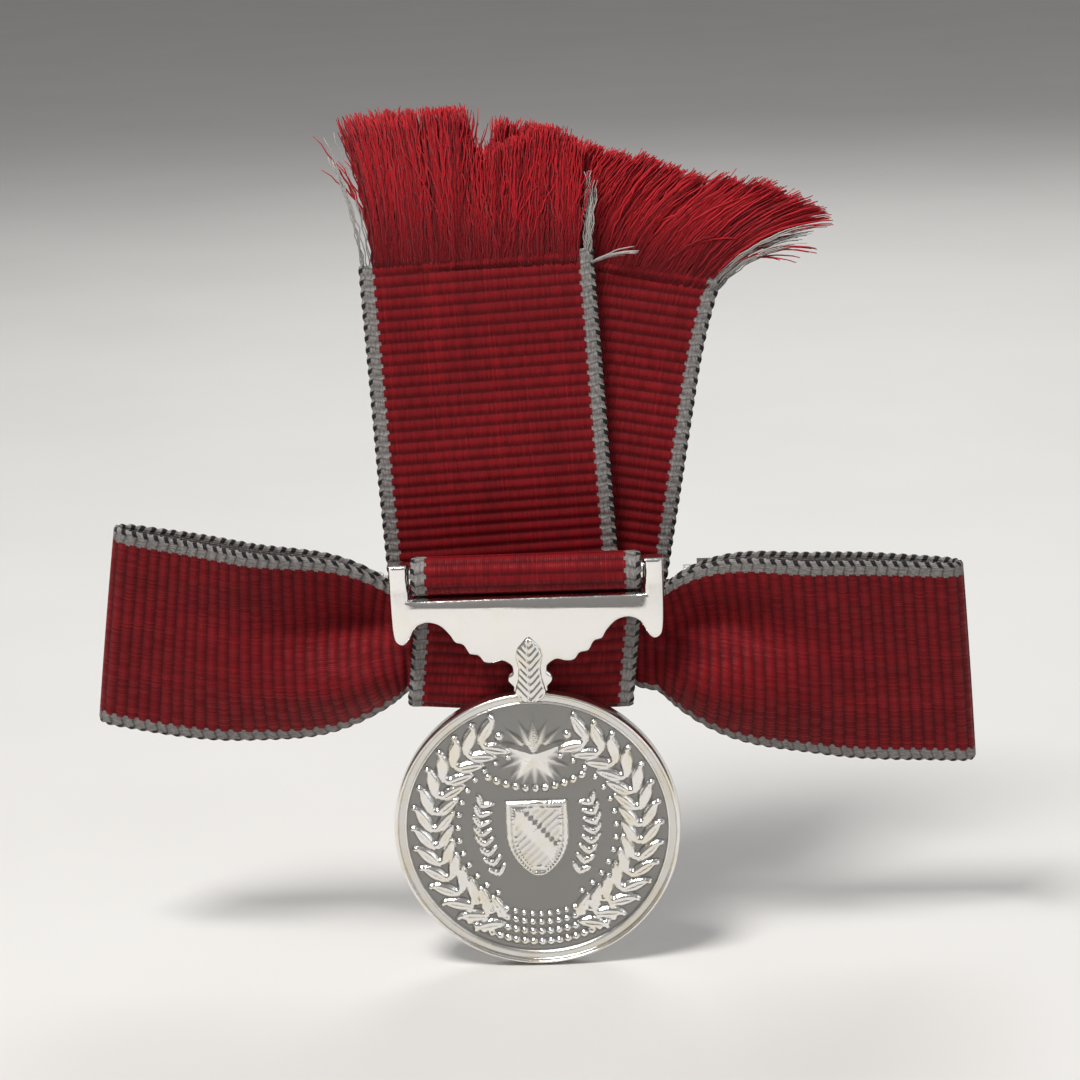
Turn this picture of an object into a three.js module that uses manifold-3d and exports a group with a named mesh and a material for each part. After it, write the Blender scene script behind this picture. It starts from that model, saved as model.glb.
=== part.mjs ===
// Miniature silver medal on a lady's bow of grosgrain ribbon, with a safety brooch at the back.
// Units are millimetres. +Z is up, the front faces -Y, and +X is to the viewer's right.
// The origin is the centre of the brooch bar's rear face, the face that lies on the garment.

import * as THREE from "three";
import { mergeVertices } from "three/addons/utils/BufferGeometryUtils.js";
import Module from "manifold-3d";

const wasm = await Module();
wasm.setup();

// ---- Driving dimensions ----

const RIBBON_WIDTH = 16;
const RIBBON_THICKNESS = 0.5;
const TOUCH_GAP = 0.05; // between pieces that are soldered or pressed together

// Ribbon bar of the medal, the axis that the medal swings on
const BAR_Y = -9.5;
const BAR_Z = 5.55;
const BAR_RADIUS = 0.7;

// Suspender: two lugs, a plate with a scrolled lower edge, and a neck
const LUG_INNER_X = 8;
const LUG_OUTER_X = 9.3;
const LUG_TOP_Z = 6.5;
const PLATE_TOP_Z = 4.1;
const PLATE_FRONT_Y = -10.3;
const PLATE_BACK_Y = -8.9;

// Disc
const DISC_RADIUS = 9.9;
const DISC_CENTRE_Z = -12.6;
const DISC_FRONT_Y = -10.3;
const DISC_BACK_Y = -8.7;
const RIM_WIDTH = 1.0;
const FIELD_DEPTH = 0.35;

// Leaf claw that joins the neck to the disc
const CLAW_THICKNESS = 0.4;

// Depth of each ribbon layer's middle, from the front of the knot to the back
const BAND_FRONT_Y = -8.15;
const BOW_MIDDLE_Y = -6.4;
const BAND_REAR_Y = -4.75;
const TAIL_LEFT_Y = -3.9;
const TAIL_RIGHT_Y = -2.8;

// Centre band
const BAND_WIDTH = 15.4;
const BAND_WRAP_RADIUS = 1.1; // middle of the ribbon's thickness, round the ribbon bar
const BAND_SLOPE = THREE.MathUtils.degToRad(20); // from behind the knot up to the ribbon bar
const BAND_BOTTOM_Z = -4.3;
const BAND_DRIFT = 0.9; // how far the band's lower end lies to the left

// Bow
const LEFT_REACH = 29.3;
const RIGHT_REACH = 29.9;
const FOLD_RADIUS = 1.3;
const KNOT_HALF_GAP = 0.8;
const LOOP_BULGE = 0.5;
const KNOT_HALF_LENGTH = 8.6;
const PINCH = 0.42; // width of the gathered ribbon over its full width
const LEFT_OPENING_LENGTH = 4.5;
const RIGHT_OPENING_LENGTH = 3.8;
const LOOP_OPEN_X = 20; // from here outwards a loop has its full depth and lean
const LOOP_LEAN = THREE.MathUtils.degToRad(15.5);
const REAR_LAYER_RISE = -0.15;
const LEFT_RISE = 2.03;
const LEFT_RISE_START_X = 15;
const LEFT_RISE_POWER = 1.6;
const RIGHT_DROOP = 2.5;
const RIGHT_DROOP_START_X = 7;
const RIGHT_DROOP_POWER = 0.6;
const SKEW_START_X = 12;
const LEFT_SKEW = THREE.MathUtils.degToRad(11.5);
const RIGHT_SKEW = THREE.MathUtils.degToRad(-4.4);

// Tails and their unravelled ends
const TAIL_START_Z = -3;
const LEFT_TAIL_X = -1.6;
const RIGHT_TAIL_X = 0.15;
const LEFT_WEAVE_END_Z = 26.2;
const LEFT_TAIL_LEAN = THREE.MathUtils.degToRad(2.4);
const RIGHT_TAIL_LEAN = THREE.MathUtils.degToRad(10.5);
const RIGHT_TAIL_LENGTH = 29;
const FRINGE_THICKNESS = 0.9;
const FRINGE_GAP = 0.3;

// Brooch
const BROOCH_LENGTH = 28;
const BROOCH_WIDTH = 5;
const BROOCH_THICKNESS = 0.8;
const BROOCH_CORNER = 1.6;
const LAND_START_X = -10.5; // the bar's middle lies on the garment
const LAND_END_X = 9.7;
const END_STEP = 0.15; // the bar's ends are this much lower, for the hinge and the catch
const PIN_Y = 5; // height of the pin's line over the bar
const PIN_RADIUS = 0.45;
const PIN_END_X = 14.1;
const PIN_TAPER_LENGTH = 3;
const PIN_TIP_RADIUS = 0.08;
const PIN_EYE_RADIUS = 1.1;
const PIN_EYE_HALF_LENGTH = 0.65;
const HINGE_X = -12;
const RIVET_RADIUS = 0.45;
const RIVET_HEAD_RADIUS = 0.8;
const RIVET_HEAD_HEIGHT = 0.35;
const RIVET_CLEARANCE = 0.1;
const CHEEK_INNER_Z = 0.95;
const CHEEK_OUTER_Z = 1.65;
const CHEEK_HALF_LENGTH = 1.2;
const FOOT_THICKNESS = 0.6;
const CATCH_START_X = 10.6;
const CATCH_END_X = 13.6;
const CATCH_WALL = 0.7;
const CATCH_HALF_WIDTH = 1.95;
const CATCH_TOP_Y = PIN_Y + 0.35;
const ROLLER_OUTER_RADIUS = 1.45;
const ROLLER_INNER_RADIUS = 0.8;
const ROLLER_CLEARANCE = 0.15;
const ROLLER_MOUTH_HALF_ANGLE = THREE.MathUtils.degToRad(45);
const ROLLER_TAB_ANGLE = THREE.MathUtils.degToRad(32); // from +Z towards +Y
const ROLLER_TAB_REACH = 2.4;
const ROLLER_TAB_HALF_WIDTH = 0.33;

// Felt pad and its stitching
const PAD_LENGTH = 18.8;
const PAD_HEIGHT = 7.8;
const PAD_FRONT_Y = -2.1;
const PAD_BACK_Y = -1.1;
const PAD_CORNER = 1.2;
const THREAD_RADIUS = 0.15;
const STITCH_ROW_Z = 3.2;
const STITCH_HALF_HEIGHT = 0.35;
const STITCH_COUNT = 9;
const STITCH_ROW_LENGTH = 17;

// ---- Materials ----

const finish = (name, color, roughness, metalness) =>
  new THREE.MeshStandardMaterial({ name, color, roughness, metalness });

const SILVER = finish("silver", 0xd9d7d1, 0.18, 1);
const CRIMSON = finish("crimson_grosgrain", 0x8c1d26, 0.8, 0);
const FRINGE_RED = finish("unravelled_warp", 0xb32632, 0.75, 0);
const PLATED_STEEL = finish("plated_steel", 0xb9b8b4, 0.3, 1);
const FELT = finish("felt", 0x6d1620, 0.95, 0);
const THREAD = finish("thread", 0x5c1119, 0.7, 0);

const medal = new THREE.Group();

function addPiece(name, geometry, material) {
  const mesh = new THREE.Mesh(geometry, material);
  mesh.name = name;
  medal.add(mesh);
}

// ---- Geometry helpers ----

const smoothStep = (value, from, to) => THREE.MathUtils.smoothstep(value, from, to);

// A closed solid from a geometry whose faces share their corners
function toManifold(geometry) {
  const bare = geometry.clone();
  bare.deleteAttribute("normal");
  bare.deleteAttribute("uv");
  const merged = mergeVertices(bare, 1e-5);
  return new wasm.Manifold(
    new wasm.Mesh({
      numProp: 3,
      vertProperties: new Float32Array(merged.attributes.position.array),
      triVerts: new Uint32Array(merged.index.array),
    }),
  );
}

function toGeometry(manifold) {
  const mesh = manifold.getMesh();
  const geometry = new THREE.BufferGeometry();
  geometry.setAttribute("position", new THREE.BufferAttribute(new Float32Array(mesh.vertProperties), 3));
  geometry.setIndex(new THREE.BufferAttribute(new Uint32Array(mesh.triVerts), 1));
  geometry.computeVertexNormals();
  return geometry;
}

function boxBetween(low, high) {
  const geometry = new THREE.BoxGeometry(high[0] - low[0], high[1] - low[1], high[2] - low[2]);
  geometry.translate((low[0] + high[0]) / 2, (low[1] + high[1]) / 2, (low[2] + high[2]) / 2);
  return geometry;
}

// A cylinder from x = start to x = end, round the line y, z
function cylinderAlongX(radius, start, end, y, z, sides, endRadius = radius) {
  const geometry = new THREE.CylinderGeometry(radius, endRadius, end - start, sides);
  geometry.rotateZ(Math.PI / 2);
  geometry.translate((start + end) / 2, y, z);
  return geometry;
}

// A cylinder centred on z = 0, round the line x, y
function cylinderAlongZ(radius, halfLength, x, y, sides) {
  const geometry = new THREE.CylinderGeometry(radius, radius, halfLength * 2, sides);
  geometry.rotateX(Math.PI / 2);
  geometry.translate(x, y, 0);
  return geometry;
}

// An outline in x and z, given depth from y = front to y = back
function extrudeThroughY(shape, front, back) {
  const depth = back - front;
  const geometry = new THREE.ExtrudeGeometry(shape, { depth, bevelEnabled: false, curveSegments: 8 });
  geometry.rotateX(Math.PI / 2);
  geometry.translate(0, back, 0);
  return geometry;
}

// After the turn about X, a shape's y becomes z when it is drawn as it looks from the front
function frontShape(points) {
  return new THREE.Shape(points.map(([x, z]) => new THREE.Vector2(x, z)));
}

// Thickens the surface point(u, v) into a closed solid. u and v run from 0 to 1, and where the sheet
// is closed in u its last row joins its first.
function thickenSheet(point, stepsU, stepsV, thickness, closedInU) {
  const rows = closedInU ? stepsU : stepsU + 1;
  const columns = stepsV + 1;
  const positions = [];
  const delta = 1e-4;
  for (const side of [0.5, -0.5]) {
    for (let i = 0; i < rows; i++) {
      for (let j = 0; j < columns; j++) {
        const u = i / stepsU;
        const v = j / stepsV;
        const centre = point(u, v);
        const alongU = point(u + delta, v).sub(point(u - delta, v));
        const alongV = point(u, v + delta).sub(point(u, v - delta));
        const normal = alongU.cross(alongV).normalize();
        centre.addScaledVector(normal, side * thickness);
        positions.push(centre.x, centre.y, centre.z);
      }
    }
  }
  const front = (i, j) => (i % rows) * columns + j;
  const back = (i, j) => rows * columns + front(i, j);
  const faces = [];
  const addQuad = (a, b, c, d) => faces.push(a, b, c, a, c, d);
  for (let i = 0; i < stepsU; i++) {
    for (let j = 0; j < stepsV; j++) {
      addQuad(front(i, j), front(i + 1, j), front(i + 1, j + 1), front(i, j + 1));
      addQuad(back(i, j), back(i, j + 1), back(i + 1, j + 1), back(i + 1, j));
    }
    addQuad(front(i + 1, 0), front(i, 0), back(i, 0), back(i + 1, 0));
    addQuad(front(i, stepsV), front(i + 1, stepsV), back(i + 1, stepsV), back(i, stepsV));
  }
  if (!closedInU) {
    for (let j = 0; j < stepsV; j++) {
      addQuad(front(0, j), front(0, j + 1), back(0, j + 1), back(0, j));
      addQuad(front(stepsU, j + 1), front(stepsU, j), back(stepsU, j), back(stepsU, j + 1));
    }
  }
  const geometry = new THREE.BufferGeometry();
  geometry.setAttribute("position", new THREE.Float32BufferAttribute(positions, 3));
  geometry.setIndex(faces);
  geometry.computeVertexNormals();
  return geometry;
}

// ---- Medal ----

// Struck disc with a raised rim on both faces
function buildDisc() {
  const middleY = (DISC_FRONT_Y + DISC_BACK_Y) / 2;
  const half = (DISC_BACK_Y - DISC_FRONT_Y) / 2;
  const fieldHalf = half - FIELD_DEPTH;
  const fieldRadius = DISC_RADIUS - RIM_WIDTH;
  const edgeRound = 0.2;
  const profile = [
    [0, -fieldHalf],
    [fieldRadius - edgeRound, -fieldHalf],
    [fieldRadius, -half],
    [DISC_RADIUS - edgeRound, -half],
    [DISC_RADIUS, -half + edgeRound],
    [DISC_RADIUS, half - edgeRound],
    [DISC_RADIUS - edgeRound, half],
    [fieldRadius, half],
    [fieldRadius - edgeRound, fieldHalf],
    [0, fieldHalf],
  ];
  const geometry = new THREE.LatheGeometry(profile.map(([r, h]) => new THREE.Vector2(r, h)), 48);
  geometry.translate(0, middleY, DISC_CENTRE_Z);
  return geometry;
}

// Plate with two lugs above it, scrolls along its lower edge, and a lobed neck down to the disc
function suspenderShape() {
  const rightSide = [
    [LUG_INNER_X, PLATE_TOP_Z],
    [LUG_INNER_X, LUG_TOP_Z],
    [LUG_OUTER_X, LUG_TOP_Z],
    [LUG_OUTER_X - 0.05, 3.2],
    [9.1, 1.5],
    [8.7, 1.0],
    [8.15, 1.25],
    [7.6, 2.05],
    [6.8, 2.4],
    [6.0, 2.2],
    [5.35, 1.6],
    [4.9, 1.0],
    [4.3, 0.6],
    [3.8, 0.05],
    [3.2, -0.2],
    [2.8, -0.5],
    [2.2, -0.5],
    [1.7, -0.45],
    [1.12, -1.12],
    [1.48, -1.84],
    [1.16, -2.62],
  ];
  const leftSide = rightSide.map(([x, z]) => [-x, z]).reverse();
  return frontShape([...rightSide, ...leftSide]);
}

// Veined leaf that clasps the neck and the rim
function clawShape() {
  return frontShape([
    [0, 1.3],
    [-0.8, 0.5],
    [-0.95, -0.1],
    [-0.75, -0.9],
    [-0.85, -1.7],
    [-1.05, -2.5],
    [-0.95, -3.0],
    [0, -3.25],
    [0.95, -3.0],
    [1.05, -2.5],
    [0.85, -1.7],
    [0.75, -0.9],
    [0.95, -0.1],
    [0.8, 0.5],
  ]);
}

function addMedal() {
  addPiece("medal_disc", buildDisc(), SILVER);
  addPiece("suspender_frame", extrudeThroughY(suspenderShape(), PLATE_FRONT_Y, PLATE_BACK_Y), SILVER);
  const clawBack = DISC_FRONT_Y - TOUCH_GAP;
  addPiece("leaf_claw", extrudeThroughY(clawShape(), clawBack - CLAW_THICKNESS, clawBack), SILVER);
  const barEnd = LUG_INNER_X - TOUCH_GAP;
  addPiece("ribbon_bar", cylinderAlongX(BAR_RADIUS, -barEnd, barEnd, BAR_Y, BAR_Z, 20), SILVER);
}

// ---- Centre band ----

// The band's line in y and z: up behind the knot, on up a slope to the ribbon bar, round it, through
// the slot, and down the front of the knot
function bandLine() {
  const rearRadius = 1.25;
  const slotRadius = 0.85;
  const footRadius = 1.1;
  // Where the slope meets the bar's wrap, and where the rear bend turns into the slope
  const slopeEnd = Math.PI / 2 - BAND_SLOPE;
  const rearCentreY = BAND_REAR_Y - rearRadius;
  const slopeRun = rearCentreY + rearRadius * Math.cos(slopeEnd) - BAR_Y - BAND_WRAP_RADIUS * Math.cos(slopeEnd);
  const slopeEndZ = BAR_Z + BAND_WRAP_RADIUS * Math.sin(slopeEnd);
  const rearCentreZ = slopeEndZ - slopeRun * Math.tan(BAND_SLOPE) - rearRadius * Math.sin(slopeEnd);
  const wrapBottom = BAR_Z - BAND_WRAP_RADIUS;
  const footZ = BAND_BOTTOM_Z + footRadius;
  const slotY = BAND_FRONT_Y - slotRadius;
  const slotZ = wrapBottom - slotRadius;
  const line = new THREE.Path();
  line.moveTo(BAND_REAR_Y, footZ);
  line.lineTo(BAND_REAR_Y, rearCentreZ);
  line.absarc(rearCentreY, rearCentreZ, rearRadius, 0, slopeEnd, false);
  line.lineTo(BAR_Y + BAND_WRAP_RADIUS * Math.cos(slopeEnd), slopeEndZ);
  line.absarc(BAR_Y, BAR_Z, BAND_WRAP_RADIUS, slopeEnd, Math.PI * 1.5, false);
  line.lineTo(slotY, wrapBottom);
  line.absarc(slotY, slotZ, slotRadius, Math.PI / 2, 0, true);
  line.lineTo(BAND_FRONT_Y, footZ);
  line.absarc(BAND_FRONT_Y + footRadius, footZ, footRadius, Math.PI, Math.PI * 1.5, false);
  line.lineTo(BAND_REAR_Y - footRadius, BAND_BOTTOM_Z);
  line.absarc(BAND_REAR_Y - footRadius, footZ, footRadius, Math.PI * 1.5, Math.PI * 2, false);
  line.arcLengthDivisions = 2000;
  return line;
}

function addCentreBand() {
  const line = bandLine();
  const driftFrom = 3;
  const point = (u, v) => {
    const at = line.getPointAt(THREE.MathUtils.euclideanModulo(u, 1));
    const drift = BAND_DRIFT * THREE.MathUtils.clamp((driftFrom - at.y) / (driftFrom - BAND_BOTTOM_Z), 0, 1);
    return new THREE.Vector3((v - 0.5) * BAND_WIDTH - drift, at.x, at.y);
  };
  addPiece("centre_band", thickenSheet(point, 60, 1, RIBBON_THICKNESS, true), CRIMSON);
}

// ---- Bow ----

// Position round the bow seen from above. layer runs from -1 at the front to 1 at the back.
function bowPlan(u) {
  const straightShare = 0.36;
  const foldShare = 0.5 - straightShare;
  const left = FOLD_RADIUS - LEFT_REACH;
  const right = RIGHT_REACH - FOLD_RADIUS;
  const turn = THREE.MathUtils.euclideanModulo(u, 1);
  if (turn < straightShare) return { x: THREE.MathUtils.lerp(left, right, turn / straightShare), layer: -1 };
  if (turn < 0.5) {
    const angle = (((turn - straightShare) / foldShare) - 0.5) * Math.PI;
    return { x: right + FOLD_RADIUS * Math.cos(angle), layer: Math.sin(angle) };
  }
  if (turn < 0.5 + straightShare) {
    return { x: THREE.MathUtils.lerp(right, left, (turn - 0.5) / straightShare), layer: 1 };
  }
  const angle = ((turn - 0.5 - straightShare) / foldShare + 0.5) * Math.PI;
  return { x: left + FOLD_RADIUS * Math.cos(angle), layer: Math.sin(angle) };
}

// Gathered at the knot, opening to the ribbon's full width outwards, with its top edge tipped forwards
function bowPoint(u, v) {
  const { x, layer } = bowPlan(u);
  const isLeft = x < 0;
  const distance = Math.abs(x);
  const beyondKnot = Math.max(0, distance - KNOT_HALF_LENGTH);
  const reach = isLeft ? LEFT_REACH : RIGHT_REACH;
  const openingLength = isLeft ? LEFT_OPENING_LENGTH : RIGHT_OPENING_LENGTH;
  const open = 1 - (1 - PINCH) * Math.exp(-beyondKnot / openingLength);
  const outward = smoothStep(distance, KNOT_HALF_LENGTH, LOOP_OPEN_X);
  const across = (v * 2 - 1) * (RIBBON_WIDTH / 2) * open;
  const lean = LOOP_LEAN * outward;
  const skew = (isLeft ? LEFT_SKEW : RIGHT_SKEW) * smoothStep(distance, SKEW_START_X, reach);
  const bulge = LOOP_BULGE * Math.sin(Math.PI * Math.min(1, beyondKnot / (reach - KNOT_HALF_LENGTH)));
  const halfGap = THREE.MathUtils.lerp(KNOT_HALF_GAP, FOLD_RADIUS, outward) + bulge;
  const pastRise = Math.max(0, distance - LEFT_RISE_START_X) / (LEFT_REACH - LEFT_RISE_START_X);
  const pastDroop = Math.max(0, distance - RIGHT_DROOP_START_X) / (RIGHT_REACH - RIGHT_DROOP_START_X);
  const rise = LEFT_RISE * Math.pow(pastRise, LEFT_RISE_POWER);
  const droop = RIGHT_DROOP * Math.pow(pastDroop, RIGHT_DROOP_POWER);
  const middleZ = isLeft ? rise : -droop;
  return new THREE.Vector3(
    x + across * Math.cos(lean) * Math.sin(skew),
    BOW_MIDDLE_Y + layer * halfGap - across * Math.sin(lean),
    middleZ + across * Math.cos(lean) * Math.cos(skew) + layer * REAR_LAYER_RISE,
  );
}

function addBow() {
  addPiece("bow_ribbon", thickenSheet(bowPoint, 100, 4, RIBBON_THICKNESS, true), CRIMSON);
}

// ---- Tails ----

// A flat length of ribbon that leans by an angle, positive to the right
function tailPoint(startX, startZ, length, lean, y) {
  return (u, v) => {
    const along = u * length;
    const across = (v - 0.5) * RIBBON_WIDTH;
    return new THREE.Vector3(
      startX + along * Math.sin(lean) + across * Math.cos(lean),
      y,
      startZ + along * Math.cos(lean) - across * Math.sin(lean),
    );
  };
}

// Unravelled warp threads as one slab, from the weave's end up to the trimmed ends
function fringe(points, y) {
  return extrudeThroughY(frontShape(points), y - FRINGE_THICKNESS / 2, y + FRINGE_THICKNESS / 2);
}

function addTails() {
  const leftLength = (LEFT_WEAVE_END_Z - TAIL_START_Z) / Math.cos(LEFT_TAIL_LEAN);
  const leftTail = tailPoint(LEFT_TAIL_X, TAIL_START_Z, leftLength, -LEFT_TAIL_LEAN, TAIL_LEFT_Y);
  const rightTail = tailPoint(RIGHT_TAIL_X, TAIL_START_Z, RIGHT_TAIL_LENGTH, RIGHT_TAIL_LEAN, TAIL_RIGHT_Y);
  addPiece("tail_left", thickenSheet(leftTail, 6, 2, RIBBON_THICKNESS, false), CRIMSON);
  addPiece("tail_right", thickenSheet(rightTail, 6, 2, RIBBON_THICKNESS, false), CRIMSON);

  const leftRoot = leftTail(1 + FRINGE_GAP / leftLength, 0);
  const leftRootEnd = leftTail(1 + FRINGE_GAP / leftLength, 1);
  const leftFringe = [
    [leftRootEnd.x, leftRootEnd.z],
    [4.3, 34.4],
    [2, 35.9],
    [-1.4, 34.7],
    [-2.6, 37.1],
    [-8.8, 37.2],
    [-12.1, 36.6],
    [leftRoot.x, leftRoot.z],
  ];
  addPiece("tail_left_fringe", fringe(leftFringe, TAIL_LEFT_Y), FRINGE_RED);

  const rightRoot = rightTail(1 + FRINGE_GAP / RIGHT_TAIL_LENGTH, 0);
  const rightRootEnd = rightTail(1 + FRINGE_GAP / RIGHT_TAIL_LENGTH, 1);
  const rightFringe = [
    [rightRootEnd.x, rightRootEnd.z],
    [16.3, 26.8],
    [19.9, 28.2],
    [21.6, 29.6],
    [19.1, 31.8],
    [14.4, 32.5],
    [11.8, 33],
    [7.2, 34.7],
    [1, 34.2],
    [rightRoot.x, rightRoot.z],
  ];
  addPiece("tail_right_fringe", fringe(rightFringe, TAIL_RIGHT_Y), FRINGE_RED);
}

// ---- Backing pad and stitching ----

// A rectangle with rounded corners, centred on the origin
function roundedRectangle(width, height, radius) {
  const x = width / 2;
  const z = height / 2;
  const shape = new THREE.Shape();
  shape.moveTo(radius - x, -z);
  shape.absarc(x - radius, radius - z, radius, -Math.PI / 2, 0, false);
  shape.absarc(x - radius, z - radius, radius, 0, Math.PI / 2, false);
  shape.absarc(radius - x, z - radius, radius, Math.PI / 2, Math.PI, false);
  shape.absarc(radius - x, radius - z, radius, Math.PI, Math.PI * 1.5, false);
  return shape;
}

// One zigzag of sewing thread on the pad's rear face
function stitchRow(rowZ) {
  const y = PAD_BACK_Y + THREAD_RADIUS + TOUCH_GAP;
  const points = [];
  for (let i = 0; i <= STITCH_COUNT * 2; i++) {
    const x = (i / (STITCH_COUNT * 2) - 0.5) * STITCH_ROW_LENGTH;
    const z = rowZ + STITCH_HALF_HEIGHT * (i % 2 === 0 ? 1 : -1);
    points.push(new THREE.Vector3(x, y, z));
  }
  const section = new THREE.Shape();
  section.absarc(0, 0, THREAD_RADIUS, 0, Math.PI * 2, false);
  return new THREE.ExtrudeGeometry(section, {
    steps: STITCH_COUNT * 4,
    curveSegments: 6,
    bevelEnabled: false,
    extrudePath: new THREE.CatmullRomCurve3(points, false, "catmullrom", 0.3),
  });
}

function addBacking() {
  const pad = roundedRectangle(PAD_LENGTH, PAD_HEIGHT, PAD_CORNER);
  addPiece("backing_pad", extrudeThroughY(pad, PAD_FRONT_Y, PAD_BACK_Y), FELT);
  addPiece("upper_stitching", stitchRow(STITCH_ROW_Z), THREAD);
  addPiece("lower_stitching", stitchRow(-STITCH_ROW_Z), THREAD);
}

// ---- Brooch ----

// Bar whose middle lies on the garment, with lower ends that the hinge and the catch are soldered to
function broochBar() {
  const pastEnd = BROOCH_LENGTH / 2 + 1;
  const pastSide = BROOCH_WIDTH / 2 + 1;
  const outline = roundedRectangle(BROOCH_LENGTH, BROOCH_WIDTH, BROOCH_CORNER);
  let bar = toManifold(extrudeThroughY(outline, -BROOCH_THICKNESS, 0));
  for (const [start, end] of [[-pastEnd, LAND_START_X], [LAND_END_X, pastEnd]]) {
    const step = boxBetween([start, -END_STEP, -pastSide], [end, END_STEP, pastSide]);
    bar = bar.subtract(toManifold(step));
  }
  return toGeometry(bar);
}

// Two cheeks on a foot, bored for the rivet
function hingeBracket() {
  const cheekTop = PIN_Y + PIN_EYE_RADIUS;
  const low = HINGE_X - CHEEK_HALF_LENGTH;
  const high = HINGE_X + CHEEK_HALF_LENGTH;
  const foot = toManifold(boxBetween([low, -END_STEP, -CHEEK_OUTER_Z], [high, FOOT_THICKNESS, CHEEK_OUTER_Z]));
  const upper = toManifold(boxBetween([low, -END_STEP, CHEEK_INNER_Z], [high, cheekTop, CHEEK_OUTER_Z]));
  const lower = toManifold(boxBetween([low, -END_STEP, -CHEEK_OUTER_Z], [high, cheekTop, -CHEEK_INNER_Z]));
  const boreRadius = RIVET_RADIUS + RIVET_CLEARANCE;
  const bore = toManifold(cylinderAlongZ(boreRadius, CHEEK_OUTER_Z + 1, HINGE_X, PIN_Y, 24));
  return toGeometry(foot.add(upper).add(lower).subtract(bore));
}

// Rivet with a head outside each cheek
function hingeRivet() {
  const headStart = CHEEK_OUTER_Z + TOUCH_GAP;
  const headEnd = headStart + RIVET_HEAD_HEIGHT;
  const profile = [
    [0, -headEnd],
    [RIVET_HEAD_RADIUS, -headEnd],
    [RIVET_HEAD_RADIUS, -headStart],
    [RIVET_RADIUS, -headStart],
    [RIVET_RADIUS, headStart],
    [RIVET_HEAD_RADIUS, headStart],
    [RIVET_HEAD_RADIUS, headEnd],
    [0, headEnd],
  ];
  const geometry = new THREE.LatheGeometry(profile.map(([r, h]) => new THREE.Vector2(r, h)), 24);
  geometry.rotateX(Math.PI / 2);
  geometry.translate(HINGE_X, PIN_Y, 0);
  return geometry;
}

// Straight wire with an eye at the hinge and a tapered point
function broochPin() {
  const taperStart = PIN_END_X - PIN_TAPER_LENGTH;
  const eye = toManifold(cylinderAlongZ(PIN_EYE_RADIUS, PIN_EYE_HALF_LENGTH, HINGE_X, PIN_Y, 24));
  const bore = toManifold(cylinderAlongZ(RIVET_RADIUS + RIVET_CLEARANCE, 1, HINGE_X, PIN_Y, 24));
  const wireStart = HINGE_X + PIN_EYE_RADIUS - 0.3;
  const overlap = 0.01;
  const wire = toManifold(cylinderAlongX(PIN_RADIUS, wireStart, taperStart, PIN_Y, 0, 12));
  const point = cylinderAlongX(PIN_TIP_RADIUS, taperStart - overlap, PIN_END_X, PIN_Y, 0, 12, PIN_RADIUS);
  return toGeometry(eye.subtract(bore).add(wire).add(toManifold(point)));
}

// Block with a round seat for the roller and a slot that the pin drops into from the back
function catchBase() {
  const seatRadius = ROLLER_OUTER_RADIUS + ROLLER_CLEARANCE;
  const slotHalf = PIN_RADIUS + 0.25;
  const blockLow = [CATCH_START_X, -END_STEP, -CATCH_HALF_WIDTH];
  const blockHigh = [CATCH_END_X, CATCH_TOP_Y, CATCH_HALF_WIDTH];
  const block = boxBetween(blockLow, blockHigh);
  const seatStart = CATCH_START_X + CATCH_WALL;
  const seatEnd = CATCH_END_X - CATCH_WALL;
  const seat = cylinderAlongX(seatRadius, seatStart, seatEnd, PIN_Y, 0, 32);
  const slotLow = [CATCH_START_X - 1, PIN_Y - slotHalf, -slotHalf];
  const slotHigh = [CATCH_END_X + 1, CATCH_TOP_Y + 1, slotHalf];
  const slot = boxBetween(slotLow, slotHigh);
  return toGeometry(toManifold(block).subtract(toManifold(seat)).subtract(toManifold(slot)));
}

// Part of a ring with a mouth towards the back and a thumb tab beside the mouth
function catchRoller() {
  const start = CATCH_START_X + CATCH_WALL + ROLLER_CLEARANCE * 2;
  const end = CATCH_END_X - CATCH_WALL - ROLLER_CLEARANCE * 2;
  const mouthStart = Math.PI / 2 - ROLLER_MOUTH_HALF_ANGLE;
  const mouthEnd = Math.PI / 2 + ROLLER_MOUTH_HALF_ANGLE;
  const shape = new THREE.Shape();
  shape.absarc(0, 0, ROLLER_OUTER_RADIUS, mouthEnd, mouthStart, false);
  shape.absarc(0, 0, ROLLER_INNER_RADIUS, mouthStart, mouthEnd, true);
  const depth = end - start;
  const ring = new THREE.ExtrudeGeometry(shape, { depth, bevelEnabled: false, curveSegments: 24 });
  const tabStart = (ROLLER_OUTER_RADIUS + ROLLER_INNER_RADIUS) / 2;
  const tab = boxBetween([tabStart, -ROLLER_TAB_HALF_WIDTH, 0], [ROLLER_TAB_REACH, ROLLER_TAB_HALF_WIDTH, depth]);
  tab.rotateZ(ROLLER_TAB_ANGLE);
  const roller = toGeometry(toManifold(ring).add(toManifold(tab)));
  // The drawing's x becomes z, its y stays y, and its depth runs towards -X
  roller.rotateY(-Math.PI / 2);
  roller.translate(end, PIN_Y, 0);
  return roller;
}

function addBrooch() {
  addPiece("brooch_bar", broochBar(), PLATED_STEEL);
  addPiece("hinge_bracket", hingeBracket(), PLATED_STEEL);
  addPiece("hinge_rivet", hingeRivet(), PLATED_STEEL);
  addPiece("brooch_pin", broochPin(), PLATED_STEEL);
  addPiece("catch_base", catchBase(), PLATED_STEEL);
  addPiece("catch_roller", catchRoller(), PLATED_STEEL);
}

addMedal();
addCentreBand();
addBow();
addTails();
addBacking();
addBrooch();

export default medal;
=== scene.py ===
import math

import bmesh
import bpy
import numpy as np
from mathutils import Matrix, Vector


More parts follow.
